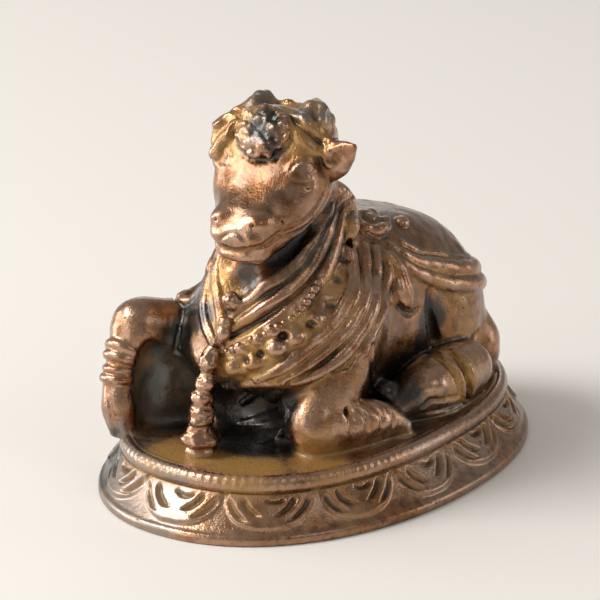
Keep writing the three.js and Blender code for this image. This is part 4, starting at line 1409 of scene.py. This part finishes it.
def bell_tree():
    """A string of bells and beads: a profile of radii along a leaning line."""
    tree, given, last = new_tree("Bell string", Vector=("Foot", "Middle", "Top"), Float=("Size",))
    line = node(tree, "GeometryNodeCurveQuadraticBezier", {
        "Start": given["Foot"], "Middle": given["Middle"], "End": given["Top"],
    })
    fine = node(tree, "GeometryNodeResampleCurve", {"Curve": line, "Count": 120})
    factor = Value(tree, node(tree, "GeometryNodeSplineParameter"))
    profile = [(at, size, False) for at, size in BELL_PROFILE]
    radius = float_curve(tree, factor, profile, BELL_WIDEST) * given["Size"]
    sized = node(tree, "GeometryNodeSetCurveRadius", {"Curve": fine, "Radius": radius})
    ring = node(tree, "GeometryNodeCurvePrimitiveCircle", {"Resolution": 48, "Radius": 1.0})
    sweep = {"Curve": sized, "Profile Curve": ring, "Scale": radius, "Fill Caps": True}
    swept = node(tree, "GeometryNodeCurveToMesh", sweep)
    normal = node(tree, "GeometryNodeInputNormal")
    dents = Value(tree, node(tree, "ShaderNodeTexNoise", {"Scale": 520.0, "Detail": 2.0})) - 0.5
    depth = dents * given["Size"] * 1.1
    off = node(tree, "ShaderNodeVectorMath", {0: normal, 3: depth}, operation="SCALE")
    worn = node(tree, "GeometryNodeSetPosition", {"Geometry": swept, "Offset": off})
    finish_tree(tree, worn, given["Finish"], last)
    return tree


# The finish


def bronze(colours):
    """Copper-brown cast metal: rubbed bright on its ridges, lacquered, and black in its recesses, with
    painted light on the lit lower front, painted shade in the sheltered hollows and a painted grey sheen.
    """
    material = bpy.data.materials.new(PATINA_AND_PAINTED_LIGHT)
    material.use_nodes = True
    tree = material.node_tree
    shader = tree.nodes["Principled BSDF"]
    coordinates = node(tree, "ShaderNodeTexCoord", out=3)

    def noise(scale, detail=3.0, roughness=0.55):
        return Value(tree, node(tree, "ShaderNodeTexNoise", {
            "Vector": coordinates, "Scale": scale, "Detail": detail, "Roughness": roughness,
        }))

    def mark(name):
        return Value(tree, node(tree, "ShaderNodeAttribute", out=2, attribute_name=name))

    def mixed(share, low, high):
        return node(tree, "ShaderNodeMix", {0: share, 6: low, 7: high}, out=2, data_type="RGBA")

    def solid(colour):
        return (*colour, 1.0)

    broad, middling, fine, grain = noise(160), noise(700), noise(2600, 2.0), noise(7000, 1.0)
    recess, shelter, grey_bloom_and_sheen, rub_and_light = mark("recess"), mark("shelter"), mark("grey_bloom_and_sheen"), mark("rub_and_light")
    # Worn copper: wear on the exposed places, and painted light from the rub marks
    worn = (rub_and_light * 0.4 - recess * 1.5 - shelter * 0.7 + middling * 0.9 - 0.52).step(-0.15, 0.45)
    base = mixed(worn, solid(colours.brown), solid(colours.copper))
    clouds = noise(330)
    rusty = (clouds + middling * 0.3 - 0.67).step(-0.05, 0.12)
    base = mixed(rusty * 0.75, base, solid(colours.rust))
    dim = (broad * 0.7 - clouds * 0.8 + middling * 0.5 + 0.05).step(0.2, 0.5)
    base = mixed(dim * 0.35, base, solid(colours.umber))
    # Grey bloom, and a painted sheen where the grey marks stand in for reflections
    bloom_and_sheen_share = (grey_bloom_and_sheen * 0.9 + middling * 0.6 + fine * 0.3 - 0.75).step(0.0, 0.5)
    base = mixed(bloom_and_sheen_share * 0.75, base, solid(colours.grey_bloom_and_sheen))
    pooled = (mark("lacquer") + broad * 0.5 + middling * 0.7 + recess * 1.1 - 0.9).step(-0.1, 0.8)
    base = mixed(pooled, base, solid(colours.lacquer))
    # Umber: patina in the fine recesses, and painted shade from the broad shelter term, which darkens
    # sheltered places much like occlusion
    crevice_patina_and_shade = recess * 2.3 + shelter * 0.7 + middling * 0.5 + fine * 0.2 - rub_and_light * 0.3 - 0.72
    base = mixed(crevice_patina_and_shade.step(-0.1, 0.6) * 0.92, base, solid(colours.umber))
    pits = Value(tree, node(tree, "ShaderNodeTexVoronoi", {"Vector": coordinates, "Scale": 900.0}))
    pitted = pits.step(0.17, 0.07) * broad.step(0.46, 0.58)
    # Black: patina in the recesses, and painted shade where the soot marks stand in for shadow
    deep = (mark("soot_and_shade") * 1.3 + recess * 0.8 + middling * 0.7 + fine * 0.4 - 1.15).step(-0.2, 0.75)
    # Grey on the black: bloom, and a painted grey-blue reflection on the web
    ash_and_sheen_share = (grey_bloom_and_sheen * 0.9 + middling * 0.7 + fine * 0.3 - 0.85).step(0.0, 0.5)
    soot_and_shade_colour = mixed(ash_and_sheen_share * 0.8, solid(colours.soot_and_shade), solid(colours.ash_and_sheen))
    plug(tree, shader.inputs["Base Color"], mixed(deep.at_least(pitted * 0.8), base, soot_and_shade_colour))
    plug(tree, shader.inputs["Metallic"], pooled * (rub_and_light * -0.45 - 0.35) + 1.0)
    roughness = middling * 0.26 + fine * 0.12 - worn * 0.06 + bloom_and_sheen_share * 0.1 + 0.13
    plug(tree, shader.inputs["Roughness"], roughness)
    shader.inputs["Coat Weight"].default_value = 0.5
    shader.inputs["Coat Roughness"].default_value = 0.12
    relief = middling * 0.5 + fine * (pooled * 0.6 + 0.3) + grain * 0.15 - pitted * 0.9
    bump = node(tree, "ShaderNodeBump", {"Strength": 0.65, "Distance": 0.0002, "Height": relief})
    tree.links.new(bump, shader.inputs["Normal"])
    return material


def finish():
    """The one finish, made when it is first asked for."""
    return bpy.data.materials.get(PATINA_AND_PAINTED_LIGHT) or bronze(bpy.context.scene.nandi_finish)


def settle(piece):
    """Gives a piece its weathering with its painted light and shade and its body, and hides the solid that it
    stands for.
    """
    weathering_and_painted_light(piece.data, figure_scale(), bpy.context.scene.nandi_plinth.deck_height)
    if not piece.data.materials:
        piece.data.materials.append(finish())
    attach(piece, "root")
    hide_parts(CAD_NODE)


# Operators

PLINTH_ROUGHER = 3
PLINTH_SEED = 4
BEAD_SEED = 5


def from_clay(point):
    """The place in the scene of a point of clay."""
    deck = Vector((0, 0, bpy.context.scene.nandi_plinth.deck_height))
    return Vector(point) * figure_scale() + deck


class NANDI_OT_plinth(bpy.types.Operator):
    """Makes the oval lotus plinth"""

    bl_idname = "nandi.plinth"
    bl_label = "Lotus plinth"

    def execute(self, context):
        sizes, figure = context.scene.nandi_plinth, context.scene.nandi_figure
        plinth = grown("lotus_plinth", plinth_tree(sizes), {
            "Length": sizes.length, "Width": sizes.width, "Petals": float(sizes.petals),
            "Petal relief": sizes.petal_relief, "Unevenness": figure.unevenness * PLINTH_ROUGHER,
            "Seed": PLINTH_SEED, "Finish": finish(),
        })
        settle(plinth)
        return {"FINISHED"}


class NANDI_OT_bull(bpy.types.Operator):
    """Makes the bull with its cloth, straps and garland"""

    bl_idname = "nandi.bull"
    bl_label = "Bull"

    def execute(self, context):
        deck, rough = context.scene.nandi_plinth.deck_height, context.scene.nandi_figure.unevenness
        bull = new_object("bull", cast_figure("bull", figure_scale(), deck, rough))
        thin_out(bull)
        settle(bull)
        return {"FINISHED"}


class NANDI_OT_garland(bpy.types.Operator):
    """Makes the row of beads along the garland's edge"""

    bl_idname = "nandi.garland"
    bl_label = "Beaded edges"

    def execute(self, context):
        clay = modelled_figure(figure_grain())[0]
        points = clay.laid(smooth_points(GARLAND_EDGE, 0.5))
        out = clay.slope(points)
        points -= out / np.linalg.norm(out, axis=1)[:, None] * BEAD_SINK
        threads = bpy.data.meshes.new("beaded_edges")
        links = [(i, i + 1) for i in range(len(points) - 1)]
        threads.from_pydata([from_clay(point) for point in points], links, [])
        beads = grown("beaded_edges", bead_tree(), {
            "Radius": BEAD_RADIUS * figure_scale(), "Spacing": BEAD_SPACING * figure_scale(),
            "Variation": BEAD_VARIATION, "Seed": BEAD_SEED, "Finish": finish(),
        }, threads)
        settle(beads)
        return {"FINISHED"}


class NANDI_OT_bells(bpy.types.Operator):
    """Makes the string of bells that hangs in front of the chest"""

    bl_idname = "nandi.bells"
    bl_label = "Bell string"

    def execute(self, context):
        bells = grown("bell_string", bell_tree(), {
            "Foot": from_clay(BELL_FOOT), "Middle": from_clay(BELL_MIDDLE), "Top": from_clay(BELL_TOP),
            "Size": figure_scale(), "Finish": finish(),
        })
        settle(bells)
        return {"FINISHED"}


class NANDI_OT_stage(bpy.types.Operator):
    """Makes the floor, the lights and the camera"""

    bl_idname = "nandi.stage"
    bl_label = "Stage"

    def execute(self, context):
        settings = context.scene.nandi_stage
        make_floor(settings.floor)
        make_lights(settings)
        make_camera(context.scene)
        context.scene.view_settings.view_transform = "Standard"
        return {"FINISHED"}


# The stage

FLOOR_HALF = 3.0
FLOOR_ROUGHNESS = 0.8

# The light from all round: its colour, the way that it darkens towards, by how much, and its middle
SKY_COLOUR = (1.0, 0.975, 0.94, 1)
SKY_DARK_WAY = (0.95, 0.3, 0.0)
SKY_SLOPE = -0.3
SKY_MIDDLE = 0.74

# Name, place, size and share of the power; all of them face the figure
LIT_PLACE = Vector((0, 0, 0.02))
LIGHTS = (
    ("key", (-0.4, -0.38, 0.52), 0.36, 0.67),
    ("left", (-0.66, -0.28, 0.06), 0.42, 0.58),
    ("side", (0.52, 0.46, 0.16), 0.3, 0.11),
    ("right", (0.62, -0.14, 0.42), 0.3, 0.06),
    ("front", (-0.2, -0.64, 0.2), 0.3, 0.1),
    ("back", (-0.42, 0.62, 0.24), 0.3, 0.04),
)

# Where the camera stands and looks, and how many sensor widths its lens is long
CAMERA_AZIMUTH = math.radians(35)
CAMERA_ELEVATION = math.radians(19)
CAMERA_DISTANCE = 0.56
CAMERA_TARGET = Vector((-0.00619, 0.00449, 0.02099))
SENSOR_WIDTH = 36.0
FOCAL_SHARE = 3903 / 600
CLIP_END = 20


def make_floor(colour):
    mesh = bpy.data.meshes.new("floor")
    corners = [(x * FLOOR_HALF, y * FLOOR_HALF, 0) for x, y in ((-1, -1), (1, -1), (1, 1), (-1, 1))]
    mesh.from_pydata(corners, [], [(0, 1, 2, 3)])
    floor = new_object("floor", mesh)
    material = bpy.data.materials.new("pale_floor")
    material.use_nodes = True
    shader = material.node_tree.nodes["Principled BSDF"]
    shader.inputs["Base Color"].default_value = (*colour, 1)
    shader.inputs["Roughness"].default_value = FLOOR_ROUGHNESS
    mesh.materials.append(material)


def make_lights(settings):
    world = bpy.data.worlds.new("studio")
    bpy.context.scene.world = world
    world.use_nodes = True
    tree = world.node_tree
    sky = tree.nodes["Background"]
    sky.inputs["Color"].default_value = SKY_COLOUR
    way = node(tree, "ShaderNodeTexCoord")
    toward = node(tree, "ShaderNodeVectorMath", {0: way, 1: SKY_DARK_WAY}, out=1, operation="DOT_PRODUCT")
    plug(tree, sky.inputs["Strength"], (Value(tree, toward) * SKY_SLOPE + SKY_MIDDLE) * settings.sky)
    for name, place, size, share in LIGHTS:
        light = bpy.data.lights.new(name, "AREA")
        light.size = size
        light.energy = settings.key_power * share
        lamp = new_object(name, light)
        lamp.location = place
        lamp.rotation_euler = (LIT_PLACE - Vector(place)).to_track_quat("-Z", "Y").to_euler()


def make_camera(scene):
    data = bpy.data.cameras.new("camera")
    camera = new_object("camera", data)
    data.sensor_width = SENSOR_WIDTH
    data.lens = SENSOR_WIDTH * FOCAL_SHARE
    back = Vector((
        math.sin(CAMERA_AZIMUTH) * math.cos(CAMERA_ELEVATION),
        -math.cos(CAMERA_AZIMUTH) * math.cos(CAMERA_ELEVATION),
        math.sin(CAMERA_ELEVATION),
    ))
    camera.location = CAMERA_TARGET + back * CAMERA_DISTANCE
    camera.rotation_euler = (-back).to_track_quat("-Z", "Y").to_euler()
    data.clip_end = CLIP_END
    scene.camera = camera


class NANDI_PT_panel(bpy.types.Panel):
    """Lists the sizes, the colours and the pieces"""

    bl_idname = "NANDI_PT_panel"
    bl_label = "Nandi"
    bl_space_type = "VIEW_3D"
    bl_region_type = "UI"
    bl_category = "Nandi"

    def draw(self, context):
        for name in GROUPS:
            box = self.layout.box()
            settings = getattr(context.scene, name)
            for key in settings.bl_rna.properties.keys():
                if key not in {"rna_type", "name"}:
                    box.prop(settings, key)
        for operator in OPERATORS:
            self.layout.operator(operator.bl_idname)


GROUPS = {
    "nandi_plinth": PlinthSizes, "nandi_figure": FigureSizes, "nandi_finish": FinishColours,
    "nandi_stage": StageSettings,
}
OPERATORS = (NANDI_OT_bull, NANDI_OT_plinth, NANDI_OT_garland, NANDI_OT_bells, NANDI_OT_stage)


def register():
    for kind in (*GROUPS.values(), *OPERATORS, NANDI_PT_panel):
        bpy.utils.register_class(kind)
    for name, kind in GROUPS.items():
        setattr(bpy.types.Scene, name, PointerProperty(type=kind))


def unregister():
    for name in GROUPS:
        delattr(bpy.types.Scene, name)
    for kind in reversed((*GROUPS.values(), *OPERATORS, NANDI_PT_panel)):
        bpy.utils.unregister_class(kind)


def main():
    register()
    bpy.ops.nandi.bull()
    bpy.ops.nandi.plinth()
    bpy.ops.nandi.garland()
    bpy.ops.nandi.bells()
    bpy.ops.nandi.stage()


if __name__ == "__main__":
    main()
